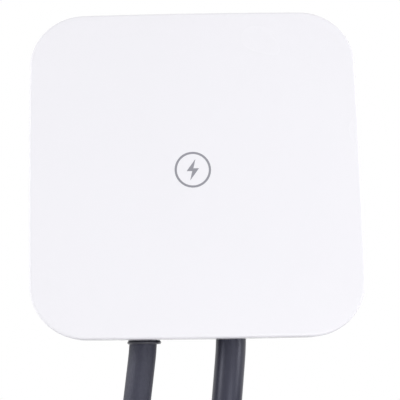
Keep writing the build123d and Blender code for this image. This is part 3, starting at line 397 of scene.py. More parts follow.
def metal(name, colour, along=40.0):
    """Plated or turned metal with drawn lines."""
    made, tree = new_material(name)
    base = effect(tree, grain_group, {"Colour": (*colour, 1.0), "Drift": 0.08, "Grain scale": 300.0})
    lines = effect(tree, lines_group, {"Across": 2500.0, "Along": along, "Gloss low": 0.22, "Gloss high": 0.45})
    return dressed(made, {"Base Color": base["Colour"], "Roughness": lines["Roughness"], "Metallic": 1.0},
                   lines["Height"], 0.1, 0.0002)


def webbing(name, colour, threads):
    """Woven strap: crossed threads in the surface, a soft sheen and dust between the threads."""
    made, tree = new_material(name)
    base = effect(tree, grain_group, {
        "Colour": (*colour, 1.0), "Drift": 0.2, "Grain scale": 1500.0, "Gloss low": 0.75, "Gloss high": 0.9,
    })
    woven = effect(tree, weave_group, {"Threads": threads})
    dusty = effect(tree, dust_group, {"Colour": base["Colour"], "Amount": 0.15})
    return dressed(made, {"Base Color": dusty["Colour"], "Roughness": base["Roughness"], "Sheen Weight": 0.3},
                   woven["Height"], 0.5, 0.0003)


def board(name, colour, track):
    """Printed board: solder resist over raised tracks."""
    made, tree = new_material(name)
    tracked = effect(tree, tracks_group, {"Colour": (*colour, 1.0), "Track": (*track, 1.0)})
    base = effect(tree, grain_group, {
        "Colour": tracked["Colour"], "Drift": 0.1, "Gloss low": 0.28, "Gloss high": 0.38,
    })
    return dressed(made, {"Base Color": base["Colour"], "Roughness": base["Roughness"]}, tracked["Mask"], 0.3, 0.0001)


def striped(name, colour, stripe):
    """Core insulation with a second colour along one side."""
    made, tree = new_material(name)
    normal = tree.nodes.new("ShaderNodeNewGeometry").outputs["Normal"]
    share = spread(tree, axes(tree, normal)["X"], 0.1, 0.2)
    base = effect(tree, grain_group, {
        "Colour": mix(tree, share, (*colour, 1.0), (*stripe, 1.0)), "Drift": 0.05,
        "Gloss low": 0.35, "Gloss high": 0.42,
    })
    return dressed(made, {"Base Color": base["Colour"], "Roughness": base["Roughness"]})


def seen_rays(tree):
    """1 for the rays that show the surroundings: camera, glossy and transmission rays."""
    rays = tree.nodes.new("ShaderNodeLightPath").outputs
    seen = maths(tree, "MAXIMUM", rays["Is Camera Ray"], rays["Is Glossy Ray"])
    return maths(tree, "MAXIMUM", seen, rays["Is Transmission Ray"])


def floor_finish():
    """Pale floor that turns into the white surroundings away from the part."""
    made = moulded("pale floor", (0.84, 0.84, 0.85), 0.8, grain=60.0, bump=0.02, drift=0.006, dust=0.0)
    tree = made.node_tree
    reach = add_node(tree, "ShaderNodeVectorMath", {0: object_point(tree)}, operation="LENGTH").outputs["Value"]
    fade = spread(tree, reach, 0.75, 1.9, interpolation_type="SMOOTHSTEP")
    white = add_node(tree, "ShaderNodeEmission", {"Color": (1, 1, 1, 1), "Strength": 1.0}).outputs[0]
    mixed = add_node(tree, "ShaderNodeMixShader", {
        0: times(tree, fade, seen_rays(tree)), 1: tree.nodes["Principled BSDF"].outputs[0], 2: white,
    }).outputs[0]
    # Seen from underneath, the floor doesn't hide the part
    below = tree.nodes.new("ShaderNodeNewGeometry").outputs["Backfacing"]
    clear = tree.nodes.new("ShaderNodeBsdfTransparent").outputs[0]
    shown = add_node(tree, "ShaderNodeMixShader", {0: below, 1: mixed, 2: clear}).outputs[0]
    tree.links.new(shown, tree.nodes["Material Output"].inputs["Surface"])
    return made


finish_makers = {
    # The record's slots
    "cover_white": lambda: moulded(
        "cover gloss white", bpy.context.scene.wallbox_cover.colour, 0.24, 500.0, 0.01, 0.004, 0.0, ior=1.4),
    "housing_grey": lambda: moulded("housing grey", (0.045, 0.047, 0.052), 0.55, 1500.0, 0.25),
    "inner_grey": lambda: moulded("inner grey", (0.42, 0.43, 0.45), 0.42, 1200.0, 0.1),
    "opal": lambda: moulded("opal ring", (0.78, 0.79, 0.80), 0.35, 600.0, 0.01),
    "zinc_steel": lambda: metal("zinc plated steel", (0.62, 0.63, 0.65)),
    "seal_rubber": lambda: moulded("seal rubber", (0.02, 0.02, 0.022), 0.6, 1500.0, 0.1),
    "bush_rubber": lambda: moulded("bush rubber", (0.050, 0.050, 0.066), 0.28, 900.0, 0.03, coat=0.4),
    "supply_rubber": lambda: moulded(
        "supply cable rubber", bpy.context.scene.wallbox_cords.supply_colour, 0.50, 1400.0, 0.4, 0.06, 0.12,
        ior=1.6, tint=(0.84, 0.86, 1.0)),
    "charge_jacket": lambda: moulded(
        "charging cable jacket", bpy.context.scene.wallbox_cords.charge_colour, 0.37, 700.0, 0.05, 0.04, 0.04,
        ior=1.56, tint=(0.84, 0.86, 1.0)),
    "strap_webbing": lambda: webbing("strap webbing", (0.02, 0.02, 0.023), 350.0),
    "board_green": lambda: board("board green", (0.008, 0.075, 0.032), (0.02, 0.15, 0.065)),
    "relay_blue": lambda: moulded("relay blue", (0.02, 0.06, 0.2), 0.35),
    "module_black": lambda: moulded("module black", (0.02, 0.02, 0.022), 0.5, bump=0.15),
    "capacitor_sleeve": lambda: moulded("capacitor sleeve", (0.02, 0.025, 0.06), 0.3),
    "terminal_green": lambda: moulded("terminal green", (0.04, 0.2, 0.08), 0.4),
    "core_insulation": lambda: moulded("core brown", (0.10, 0.045, 0.02), 0.4),
    "spacer_brass": lambda: metal("turned brass", (0.72, 0.54, 0.26)),
    "shield_tin": lambda: metal("tinned shield", (0.72, 0.73, 0.74), along=60.0),
    "switch_plastic": lambda: moulded("switch plastic", (0.02, 0.02, 0.02), 0.45),
    "knob_orange": lambda: moulded("knob orange", (0.75, 0.2, 0.03), 0.4),
    "connector_plastic": lambda: moulded("connector plastic", (0.022, 0.022, 0.025), 0.5, 1600.0, 0.3),
    "boot_rubber": lambda: moulded("boot rubber", (0.02, 0.02, 0.022), 0.55, 1200.0, 0.15),
    # The cores' colours and the mark's ink
    "core_brown": lambda: finish("core_insulation"),
    "core_blue": lambda: moulded("core blue", (0.02, 0.08, 0.35), 0.4),
    "core_green_yellow": lambda: striped("core green and yellow", (0.03, 0.25, 0.05), (0.75, 0.55, 0.03)),
    "core_black": lambda: moulded("core black", (0.02, 0.02, 0.02), 0.4),
    "mark_ink": lambda: moulded("mark ink", (0.295, 0.295, 0.33), 0.35, 2500.0, 0.03, 0.05, 0.0),
}
finishes = {}


def finish(name):
    """One of the materials, made when first needed."""
    if name not in finishes:
        finishes[name] = finish_makers[name]()
    return finishes[name]


# Mesh building


def place(name, data, body, slot, replaced=(), material=None, angle=None):
    """A finished piece with its finish, its body and the CAD nodes that it stands for.

    With an angle in degrees, its shading is smooth up to that angle.
    """
    if angle:
        data.shade_smooth()
        data.set_sharp_from_angle(angle=radians(angle))
    piece = bpy.data.objects.new(name, data)
    bpy.context.scene.collection.objects.link(piece)
    data.materials.clear()
    data.materials.append(material or finish(slot))
    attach(piece, body)
    if replaced:
        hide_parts(*replaced)
    return piece


def welded(node):
    """A CAD node's shape with its loose triangles merged."""
    work = bmesh.new()
    work.from_mesh(frame["nodes"][node].data)
    bmesh.ops.remove_doubles(work, verts=work.verts, dist=2e-6)
    bmesh.ops.dissolve_degenerate(work, edges=work.edges, dist=1e-6)
    return work


def carry(*nodes):
    """CAD nodes' own shapes, welded and smoothly shaded, each standing for its node."""
    for node in nodes:
        work = welded(node)
        mesh = bpy.data.meshes.new(node + "_smooth")
        work.to_mesh(mesh)
        work.free()
        piece = place(node + "_skin", mesh, body_of[node], slot_of[node], (node,), angle=32.0)
        # Weighs each vertex's shading by the size of its faces, so that flat faces stay flat
        piece.modifiers.new("flat faces first", "WEIGHTED_NORMAL").keep_sharp = True


def solids(work):
    """The faces of each separate solid in a welded shape, from left to right."""
    left = set(work.faces)
    found = []
    for start in work.faces:
        if start not in left:
            continue
        left.discard(start)
        part, waiting = [], [start]
        while waiting:
            face = waiting.pop()
            part.append(face)
            for edge in face.edges:
                for other in edge.link_faces:
                    if other in left:
                        left.discard(other)
                        waiting.append(other)
        found.append(part)
    return sorted(found, key=lambda faces: min(v.co.x for face in faces for v in face.verts))


def faces_mesh(name, faces):
    """A mesh of some faces of a welded shape."""
    number = {v: i for i, v in enumerate(dict.fromkeys(v for face in faces for v in face.verts))}
    mesh = bpy.data.meshes.new(name)
    mesh.from_pydata([tuple(v.co) for v in number], [], [[number[v] for v in face.verts] for face in faces])
    return mesh


def corners_of(faces):
    """The lowest and highest corners of some faces."""
    spots = [v.co for face in faces for v in face.verts]
    return [Vector([end(spot[i] for spot in spots) for i in range(3)]) for end in (min, max)]


def face_outwards(mesh):
    """Welds doubles and turns every face outwards."""
    work = bmesh.new()
    work.from_mesh(mesh)
    bmesh.ops.remove_doubles(work, verts=work.verts, dist=1e-7)
    bmesh.ops.recalc_face_normals(work, faces=work.faces)
    work.to_mesh(mesh)
    work.free()


def ring_mesh(name, rings, ends=(), loop=False):
    """A skin through rings of equally many points, closed by a point at both ends or by joining up."""
    count = len(rings[0])
    points = [point for ring in rings for point in ring]
    steps = len(rings) if loop else len(rings) - 1
    faces = []
    for i in range(steps):
        low, high = i * count, (i + 1) % len(rings) * count
        for j in range(count):
            k = (j + 1) % count
            faces.append((low + j, low + k, high + k, high + j))
    for apex, first in zip(ends, (0, (len(rings) - 1) * count)):
        points.append(apex)
        for j in range(count):
            face = (first + j, first + (j + 1) % count, len(points) - 1)
            faces.append(face if first else face[::-1])
    mesh = bpy.data.meshes.new(name)
    mesh.from_pydata(points, [], faces)
    face_outwards(mesh)
    return mesh


def outline(width, height, corner, bow, side_steps=14, corner_steps=18):
    """Points and outward directions round a rounded rectangle with bowed sides, as (x, z) pairs."""
    top = ((width / 2 - bow) ** 2 + bow**2) / (2 * bow)
    right = ((height / 2 - bow) ** 2 + bow**2) / (2 * bow)
    top_centre = Vector((0, height / 2 - top))
    right_centre = Vector((width / 2 - right, 0))
    # The corner's centre lies on a circle inside each side's arc
    reach_top, reach_right = top - corner, right - corner
    gap = right_centre - top_centre
    along = (reach_top**2 - reach_right**2 + gap.length_squared) / (2 * gap.length)
    aside = sqrt(reach_top**2 - along**2)
    way = gap.normalized()
    centre = top_centre + way * along + Vector((way.y, -way.x)) * aside
    right_end = atan2(centre.y, centre.x - right_centre.x)
    top_end = atan2(centre.y - top_centre.y, centre.x)
    found = []
    for middle, radius, start, stop, steps in (
        (right_centre, right, 0.0, right_end, side_steps),
        (centre, corner, right_end, top_end, corner_steps),
        (top_centre, top, top_end, pi / 2, side_steps),
    ):
        for i in range(steps):
            angle = start + (stop - start) * i / steps
            way = Vector((cos(angle), sin(angle)))
            found.append((middle + way * radius, way))
    found.append((Vector((0, height / 2)), Vector((0, 1))))

    def mirrored(pairs, x, z):
        return [(Vector((p.x * x, p.y * z)), Vector((n.x * x, n.y * z))) for p, n in reversed(pairs)]

    upper = found + mirrored(found[:-1], -1, 1)
    return upper + mirrored(upper[1:-1], 1, -1)


def cover_mesh(settings):
    """The cover's crowned shell: outer skin, front edge round, inner skin and the skirt's rim."""
    edge = outline(settings.width, settings.height, settings.corner, settings.bow)
    reach = settings.crown_radius
    # Round of the skirt's rim, round of the inside's edge, and where the rows on the sides end below the front round
    rim_round, inner_round, side_room = 0.0005, 0.0008, 0.0022
    crown_shares = (0.99, 0.975, 0.95, 0.91, 0.86, 0.8, 0.7, 0.6, 0.5, 0.4, 0.3, 0.2, 0.1, 0.04)

    def crown(point, front):
        return front - (point.length_squared / (2 * reach))

    def offset_ring(inward, depth):
        return [((p - n * inward).x, -depth, (p - n * inward).y) for p, n in edge]

    def rounded_ring(inset, radius, share, front):
        ring = []
        for p, n in edge:
            rim = p - n * (inset + radius)
            stop = pi / 2 - rim.length / reach
            angle = stop * share
            end_point = p - n * (inset + radius * (1 - cos(stop)))
            base = crown(end_point, front) - radius * sin(stop)
            spot = p - n * (inset + radius * (1 - cos(angle)))
            ring.append((spot.x, -(base + radius * sin(angle)), spot.y))
        return ring

    def crown_rings(last, front):
        spots = [[Vector((x, z)) * share for x, _, z in last] for share in crown_shares]
        return [[(spot.x, -crown(spot, front), spot.y) for spot in ring] for ring in spots]

    def rim_ring(inset, angle, sign):
        return offset_ring(inset + sign * rim_round * (1 - sin(angle)), settings.back + rim_round * (1 - cos(angle)))

    def side_rings(inset, shares):
        top = settings.front - settings.edge_round - side_room
        return [offset_ring(inset, settings.back + (top - settings.back) * share) for share in shares]

    outer = [rim_ring(0.0, angle, 1) for angle in (0, pi / 6, pi / 3, pi / 2)]
    outer += side_rings(0, (0.3, 0.7, 0.97))
    outer += [rounded_ring(0, settings.edge_round, i / 10, settings.front) for i in range(11)]
    outer += crown_rings(outer[-1], settings.front)
    inner_front = settings.front - settings.wall
    inner = [rim_ring(settings.wall, angle, -1) for angle in (0, pi / 6, pi / 3, pi / 2)]
    inner += side_rings(settings.wall, (0.4, 0.9))
    inner += [rounded_ring(settings.wall, inner_round, i / 4, inner_front) for i in range(5)]
    inner += crown_rings(inner[-1], inner_front)
    return ring_mesh("front_cover_shell", inner[::-1] + outer, ((0, -inner_front, 0), (0, -settings.front, 0)))


def circle(radius, steps):
    """Points round a circle, as pairs."""
    return [(radius * cos(2 * pi * i / steps), radius * sin(2 * pi * i / steps)) for i in range(steps)]


def turned_solid(name, profile, spots, steps=40):
    """Solids turned round axes square to the wall, one at each spot, from (radius, distance) pairs."""
    parts = []
    for x, z in spots:
        rings = [[(x + a, -depth, z + b) for a, b in circle(radius, steps)] for radius, depth in profile]
        parts.append(ring_mesh(name, rings, [(x, -depth, z) for _, depth in (profile[0], profile[-1])]))
    return join_meshes(name, parts)


def join_meshes(name, parts):
    """Several meshes as one."""
    work = bmesh.new()
    for part in parts:
        work.from_mesh(part)
        bpy.data.meshes.remove(part)
    mesh = bpy.data.meshes.new(name)
    work.to_mesh(mesh)
    work.free()
    return mesh


# Geometry Nodes


def repeat_tree(name, sizes):
    """A tree that copies one small solid to every vertex of its mesh, with named sizes."""
    tree = bpy.data.node_groups.new(name, "GeometryNodeTree")
    tree.interface.new_socket("Places", in_out="INPUT", socket_type="NodeSocketGeometry")
    for label, value in sizes.items():
        tree.interface.new_socket(label, in_out="INPUT", socket_type="NodeSocketFloat").default_value = value
    tree.interface.new_socket("Finish", in_out="INPUT", socket_type="NodeSocketMaterial")
    tree.interface.new_socket("Copies", in_out="OUTPUT", socket_type="NodeSocketGeometry")
    return tree, tree.nodes.new("NodeGroupInput").outputs


def end_tree(tree, given, solid, turn):
    """Copies the solid to the places, makes the copies real and sets their material."""
    copies = add_node(tree, "GeometryNodeInstanceOnPoints", {
        "Points": given["Places"], "Instance": solid, "Rotation": turn,
    })
    real = add_node(tree, "GeometryNodeRealizeInstances", {"Geometry": copies.outputs["Instances"]})
    painted = add_node(tree, "GeometryNodeSetMaterial", {"Geometry": real.outputs[0], "Material": given["Finish"]})
    add_node(tree, "NodeGroupOutput", {"Copies": painted.outputs[0]})
    return tree


def grown_mesh(name, tree, places, values):
    """The plain mesh that a tree grows on a set of places."""
    seeds = bpy.data.meshes.new(name)
    seeds.from_pydata(places, [], [])
    holder = bpy.data.objects.new(name, seeds)
    bpy.context.scene.collection.objects.link(holder)
    grower = holder.modifiers.new("grow", "NODES")
    grower.node_group = tree
    for item in tree.interface.items_tree:
        if item.name in values:
            grower[item.identifier] = values[item.name]
    ready = holder.evaluated_get(bpy.context.evaluated_depsgraph_get())
    mesh = bpy.data.meshes.new_from_object(ready)
    mesh.name = name
    bpy.data.objects.remove(holder)
    return mesh


def moved_to(tree, shape, x, y, z):
    """A shape with its points moved to new coordinates."""
    return add_node(tree, "GeometryNodeSetPosition", {
        "Geometry": shape, "Position": vector_of(tree, x, y, z),
    }).outputs[0]


def position(tree):
    """Each point's X, Y and Z."""
    return axes(tree, tree.nodes.new("GeometryNodeInputPosition").outputs[0])


def rib_tree():
    """A rib with drafted sides, standing on the cover's inside and running along one direction."""
    tree, given = repeat_tree("cover ribs", {"Length": 0.14, "Thickness": 0.0014, "Height": 0.005, "Upright": 0.0})
    size = vector_of(tree, given["Length"], given["Height"], given["Thickness"])
    bar = add_node(tree, "GeometryNodeMeshCube", {"Size": size, "Vertices X": 40}).outputs["Mesh"]
    spot = position(tree)
    # The free edge is thinner than the foot
    half = times(tree, given["Height"], 0.5)
    draft = spread(tree, spot["Y"], times(tree, half, -1.0), half, 1.15, 0.75)
    shaped = moved_to(tree, bar, spot["X"], spot["Y"], times(tree, spot["Z"], draft))
    return end_tree(tree, given, shaped, vector_of(tree, y=times(tree, given["Upright"], pi / 2)))


def profile_curve(tree, along, levels):
    """A value along a profile, through evenly spaced levels between 0 and 1."""
    made = add_node(tree, "ShaderNodeFloatCurve", {"Value": along})
    line = made.mapping.curves[0]
    line.points[0].location, line.points[1].location = (0.0, levels[0]), (1.0, levels[-1])
    for i, level in enumerate(levels[1:-1], 1):
        line.points.new(i / (len(levels) - 1), level)
    for point in line.points:
        point.handle_type = "VECTOR"
    made.mapping.update()
    return made.outputs[0]


def lathe(tree, around, rows, radius_of, height_of):
    """A grid rolled into a turned shape: radius and height come from the share round and the share along."""
    grid = add_node(tree, "GeometryNodeMeshGrid", {
        "Size X": 1.0, "Size Y": 1.0, "Vertices X": around + 1, "Vertices Y": rows,
    }).outputs["Mesh"]
    spot = position(tree)
    turn = times(tree, plus(tree, spot["X"], 0.5), 2 * pi)
    along = plus(tree, spot["Y"], 0.5)
    radius = radius_of(along, turn)
    shaped = moved_to(tree, grid, times(tree, radius, maths(tree, "COSINE", turn)),
                      times(tree, radius, maths(tree, "SINE", turn)), height_of(along))
    return add_node(tree, "GeometryNodeMergeByDistance", {"Geometry": shaped, "Distance": 2e-6}).outputs[0]


def screw_tree():
    """A pan head with a six-lobed recess on a threaded shank, copied to each place and turned one way."""
    tree, given = repeat_tree("screws", {
        "Head radius": 0.0028, "Head height": 0.0016, "Shank radius": 0.0014, "Length": 0.01, "Pitch": 0.0011,
        "Thread depth": 0.16, "Lobe depth": 0.13, "Turn": pi / 2,
    })
    # Levels from the recess's middle over the rim and down the head's side to its underside
    radii = [0.0, 0.40, 0.46, 0.50, 0.72, 0.88, 0.97, 1.0, 1.0, 0.98, 0.0]
    heights = [0.35, 0.35, 0.93, 1.0, 1.0, 0.95, 0.78, 0.5, 0.08, 0.0, 0.0]
    lobes = [0.0, 1.0, 1.0, 0.9, 0.0, 0.0, 0.0, 0.0, 0.0, 0.0, 0.0]

    def head_radius(along, turn):
        wave = maths(tree, "COSINE", times(tree, turn, 6.0))
        lobe = times(tree, times(tree, wave, profile_curve(tree, along, lobes)), given["Lobe depth"])
        size = times(tree, profile_curve(tree, along, radii), given["Head radius"])
        return times(tree, size, plus(tree, lobe, 1.0))

    def head_height(along):
        return times(tree, profile_curve(tree, along, heights), given["Head height"])

    def shank_height(along):
        # The shank starts inside the head, where its end doesn't show
        inside = times(tree, given["Head height"], 0.3)
        whole = plus(tree, given["Length"], inside)
        return maths(tree, "SUBTRACT", inside, times(tree, along, whole))

    def shank_radius(along, turn):
        wound = times(tree, maths(tree, "DIVIDE", shank_height(along), given["Pitch"]), 2 * pi)
        wave = maths(tree, "COSINE", plus(tree, wound, turn))
        groove = times(tree, maths(tree, "SUBTRACT", 1.0, wave), given["Thread depth"])
        ends = profile_curve(tree, along, [0.0] + [1.0] * 20 + [0.86, 0.6, 0.0])
        size = times(tree, ends, given["Shank radius"])
        return times(tree, size, maths(tree, "SUBTRACT", 1.0, groove))

    whole = tree.nodes.new("GeometryNodeJoinGeometry")
    tree.links.new(lathe(tree, 36, 11, head_radius, head_height), whole.inputs[0])
    tree.links.new(lathe(tree, 16, 70, shank_radius, shank_height), whole.inputs[0])
    return end_tree(tree, given, whole.outputs[0], vector_of(tree, given["Turn"]))


# Operators


class WALLBOX_OT_stage(bpy.types.Operator):
    """Makes the camera, the lamps, the white surroundings and the floor"""

    bl_idname = "wallbox.stage"
    bl_label = "Stage"

    def execute(self, context):
        settings = context.scene.wallbox_stage
        context.scene.view_settings.view_transform = "Standard"
        camera = bpy.data.objects.new("camera", bpy.data.cameras.new("camera"))
        context.scene.collection.objects.link(camera)
        right, up = Vector(settings.camera_right).normalized(), Vector(settings.camera_up).normalized()
        turn = Matrix((right, up, right.cross(up))).transposed().to_4x4()
        camera.matrix_world = Matrix.Translation(settings.camera_place) @ turn
        camera.data.lens = settings.lens
        camera.data.shift_x, camera.data.shift_y = settings.shift
        camera.data.clip_start, camera.data.clip_end = 0.01, 50.0
        context.scene.camera = camera

        world = bpy.data.worlds.new("surroundings")
        world.use_nodes = True
        context.scene.world = world
        tree = world.node_tree
        level = spread(tree, seen_rays(tree), 0.0, 1.0, settings.ambient, 1.0)
        set_inputs(tree, tree.nodes["Background"], {"Color": (1, 1, 1, 1), "Strength": level})

        # Each lamp: name, place, width, height and power; all look at the origin
        lamps = (
            ("key lamp", (0.3, -1.0, -0.45), 0.4, 0.25, settings.key_power),
            ("left lamp", (-1.5, -0.72, 0.36), 0.14, 0.9, settings.left_power),
            ("right lamp", (1.5, -0.62, 0.27), 0.26, 0.9, settings.right_power),
            ("far left lamp", (-1.3, 0.2, 0.15), 0.3, 0.9, settings.far_power),
        )
        for name, spot, width, height, power in lamps:
            lamp = bpy.data.lights.new(name, "AREA")
            lamp.shape = "RECTANGLE"
            lamp.size, lamp.size_y = width, height
            lamp.energy = power
            holder = bpy.data.objects.new(name, lamp)
            holder.location = spot
            holder.rotation_euler = (-Vector(spot)).to_track_quat("-Z", "Y").to_euler()
            context.scene.collection.objects.link(holder)

        side, seat = 6.0, settings.floor_height
        mesh = bpy.data.meshes.new("floor")
        mesh.from_pydata([(-side, -side, seat), (side, -side, seat), (side, side, seat), (-side, side, seat)], [],
                         [(0, 1, 2, 3)])
        floor = bpy.data.objects.new("floor", mesh)
        context.scene.collection.objects.link(floor)
        mesh.materials.append(floor_finish())
        return {"FINISHED"}


def cord_piece(name, points, diameter, slot, replaced):
    """A cable on one smooth open spline through given control points."""
    curve = bpy.data.curves.new(name, "CURVE")
    curve.dimensions = "3D"
    spline = curve.splines.new("NURBS")
    spline.points.add(len(points) - 1)
    for spot, point in zip(spline.points, points):
        spot.co = (*point, 1.0)
    spline.order_u = 3
    spline.use_endpoint_u = True
    spline.resolution_u = 8
    curve.bevel_depth = diameter / 2
    curve.bevel_resolution = 7
    curve.use_fill_caps = True
    piece = bpy.data.objects.new(name, curve)
    bpy.context.scene.collection.objects.link(piece)
    curve.materials.append(finish(slot))
    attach(piece, "root")
    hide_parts(*replaced)


def outside_curve(step):
    """How far a turn's control points stand outside its curve, as a factor, for a step in radians."""
    return 1 / (0.75 + 0.25 * cos(step))


class WALLBOX_OT_cords(bpy.types.Operator):
    """Lays the supply cable and the charging cable with their coils"""

    bl_idname = "wallbox.cords"
    bl_label = "Cables"

    def execute(self, context):
        settings = context.scene.wallbox_cords
        step = 2 * pi / settings.points_per_turn
        centre_x, centre_z = supply_coil_centre
        points = list(supply_lead)
        radius = settings.supply_radius * outside_curve(step)
        for index in range(settings.supply_turns * settings.points_per_turn):
            angle = (index + 0.5) * step
            depth = supply_coil_depth + settings.supply_diameter * angle / (2 * pi)
            points.append((centre_x + radius * cos(angle), -depth, centre_z - radius * sin(angle)))
        points += supply_tail
        cord_piece("supply_cord", points, settings.supply_diameter, "supply_rubber",
                   ("supply_cable", "supply_coil", "supply_end"))

        step = charge_cell_turn / settings.points_per_cell
        centre_x, centre_z = charge_coil_centre
        points = list(charge_lead)
        for cell, (layer, column) in enumerate(charge_cells):
            radius = (settings.charge_radius + (1 - layer) * settings.charge_diameter) * outside_curve(step)
            depth = charge_coil_depth + column * settings.charge_diameter
            for index in range(settings.points_per_cell):
                angle = pi + cell * charge_cell_turn + (index + 0.5) * step
                points.append((centre_x + radius * cos(angle), -depth, centre_z + radius * sin(angle)))
        points += charge_tail
        cord_piece("charge_cord", points, settings.charge_diameter, "charge_jacket",
                   ("charge_cable", "charge_coil", "charge_tail"))
        return {"FINISHED"}


class WALLBOX_OT_front_cover(bpy.types.Operator):
    """Makes the crowned front cover with its ribs and pegs"""

    bl_idname = "wallbox.front_cover"
    bl_label = "Front cover"

    def execute(self, context):
        settings = context.scene.wallbox_cover
        place("cover_shell", cover_mesh(settings), "cover", "cover_white", ("front_cover",), angle=40.0)

        inside = settings.front - settings.wall
        rib_apart, rib_clear, rib_rise = 0.038, 0.024, 0.0022
        tree = rib_tree()
        ribs = []
        for upright in (0.0, 1.0):
            for offset in (-rib_apart, 0.0, rib_apart):
                drop = offset**2 / (2 * settings.crown_radius)
                depth = inside - rib_rise - drop
                spot = (offset, -depth, 0.0) if upright else (0.0, -depth, offset)
                length = (settings.height if upright else settings.width) - rib_clear
                ribs.append(grown_mesh("rib", tree, [spot], {
                    "Length": length, "Upright": upright, "Finish": finish("cover_white"),
                }))
        mesh = join_meshes("cover_ribs", ribs)
        face_outwards(mesh)
        place("cover_ribs", mesh, "cover", "cover_white", angle=30.0)

        # Pegs, from (radius, distance from the wall) pairs: a rounded tip, a shank, a boss and a wide foot
        peg_x, peg_z = settings.width / 2 - 0.015, 0.022
        tip, boss, foot = 0.0585, 0.0673, inside - 0.0008
        profile = [(0.0022, tip), (0.0026, tip + 0.0002), (0.003, tip + 0.0008), (0.003, boss - 0.0004),
                   (0.0034, boss), (0.0052, boss), (0.0055, boss + 0.0003), (0.0056, foot - 0.002), (0.0072, foot)]
        spots = [(x, z) for x in (-peg_x, peg_x) for z in (-peg_z, peg_z)]
        place("cover_pegs", turned_solid("cover_pegs", profile, spots), "cover", "cover_white", angle=35.0)
        return {"FINISHED"}


class WALLBOX_OT_mark(bpy.types.Operator):
    """Prints a plain ring with a lightning bolt on the cover, as a thin film of ink"""

    bl_idname = "wallbox.mark"
    bl_label = "Mark"

    def execute(self, context):
        settings = context.scene.wallbox_cover
        centre = Vector((-0.00094, 0.0006))

        def on_crown(way, rise):
            spot = centre + Vector(way)
            depth = settings.front - spot.length_squared / (2 * settings.crown_radius)
            return (spot.x, -(depth + rise), spot.y)

        # The film's rim goes a little way into the crown
        top, foot = settings.ink, -2 * settings.ink
        outer = settings.mark_radius + settings.mark_line / 2
        inner = settings.mark_radius - settings.mark_line / 2
        section = ((outer, foot), (outer, top), (inner, top), (inner, foot))
        rings = [[on_crown(Vector(way) * radius, rise) for radius, rise in section] for way in circle(1.0, 96)]
        ring = ring_mesh("ring", rings, loop=True)

        # The bolt as two strips that meet in its waist, from corners in millimetres
        corners = [(1.4, 5.4), (-3.1, -0.7), (-0.3, -0.7), (-1.4, -5.4), (3.1, 0.7), (0.3, 0.7)]
        points = [on_crown(Vector(corner) * 0.001, rise) for rise in (top, foot) for corner in corners]
        upper = [(0, 1, 2), (0, 2, 5), (5, 2, 3), (5, 3, 4)]
        lower = [tuple(i + 6 for i in reversed(face)) for face in upper]
        sides = [(i, i + 6, (i + 1) % 6 + 6, (i + 1) % 6) for i in range(6)]
        bolt = bpy.data.meshes.new("bolt")
        bolt.from_pydata(points, [], upper + lower + sides)

        mesh = join_meshes("cover_mark", [ring, bolt])
        face_outwards(mesh)
        # No slot of the record, so that repainting the cover leaves the ink as it is
        place("cover_mark", mesh, "cover", None, material=finish("mark_ink"))
        return {"FINISHED"}


class WALLBOX_OT_housing(bpy.types.Operator):
    """Makes the wall bracket, the rear housing, its seal and the light ring"""

    bl_idname = "wallbox.housing"
    bl_label = "Housing"

    def execute(self, context):
        carry("wall_bracket", "rear_housing", "housing_seal", "light_ring")
        return {"FINISHED"}


class WALLBOX_OT_inner_cover(bpy.types.Operator):
    """Makes the inner cover and the grommets that hold the front cover's pegs"""

    bl_idname = "wallbox.inner_cover"
    bl_label = "Inner cover"

    def execute(self, context):
        carry("inner_cover", "cover_grommets")
        return {"FINISHED"}


class WALLBOX_OT_entries(bpy.types.Operator):
    """Makes the two cable bushes with their rounded collars, and the cable clamps"""

    bl_idname = "wallbox.entries"
    bl_label = "Cable entries"

    def execute(self, context):
        cords = context.scene.wallbox_cords
        entries = context.scene.wallbox_entries
        nose = entries.collar_lip / 2
        # The housing's bottom wall, from outside to inside, and the flange that stands on it
        outside, inside, flange_top = -0.080, -0.076, -0.0735
        # How far each surface stands out from the cable, and the cut of the edges
        squeeze, neck_wall, flange_wall, waist, cut = 0.0001, 0.00085, 0.0034, 0.0005, 0.0003
        for name, radius, (x, y, _), drop in (
            ("supply_bush", cords.supply_diameter / 2, supply_lead[0], entries.supply_drop),
            ("charge_bush", cords.charge_diameter / 2, charge_lead[0], entries.charge_drop),
        ):
            grip, neck, flange = radius - squeeze, radius + neck_wall, radius + flange_wall
            collar = radius + entries.collar_wall
            low = outside - drop
            section = [(grip, low + cut), (grip + cut, low)]
            # The lip's rounded edge, from its underside up to the collar's waist
            for i in range(9):
                angle = -pi / 2 + pi * i / 8
                section.append((collar - nose + nose * cos(angle), low + nose + nose * sin(angle)))
            section += [
                (collar - waist, low + 2 * nose + 0.0001), (collar - waist, outside), (neck, outside), (neck, inside),
                (flange - cut, inside), (flange, inside + cut), (flange, flange_top - 0.0004),
                (flange - 0.0004, flange_top), (grip, flange_top),
            ]
            rings = [[(x + r * a, y + r * b, z) for r, z in section] for a, b in circle(1.0, 96)]
            mesh = ring_mesh(name + "_turned", rings, loop=True)
            place(name + "_ring", mesh, "root", slot_of[name], (name,), angle=40.0)
        carry("supply_clamp", "charge_clamp")
        return {"FINISHED"}


class WALLBOX_OT_electronics(bpy.types.Operator):
    """Makes the boards and everything that stands on them"""

    bl_idname = "wallbox.electronics"
    bl_label = "Electronics"

    def execute(self, context):
        carry("main_board", "relays", "power_module", "capacitors", "fuse_holder", "current_sensor",
              "supply_terminals", "output_terminals", "board_spacers", "control_board", "board_header", "processor",
              "radio_module")
        return {"FINISHED"}


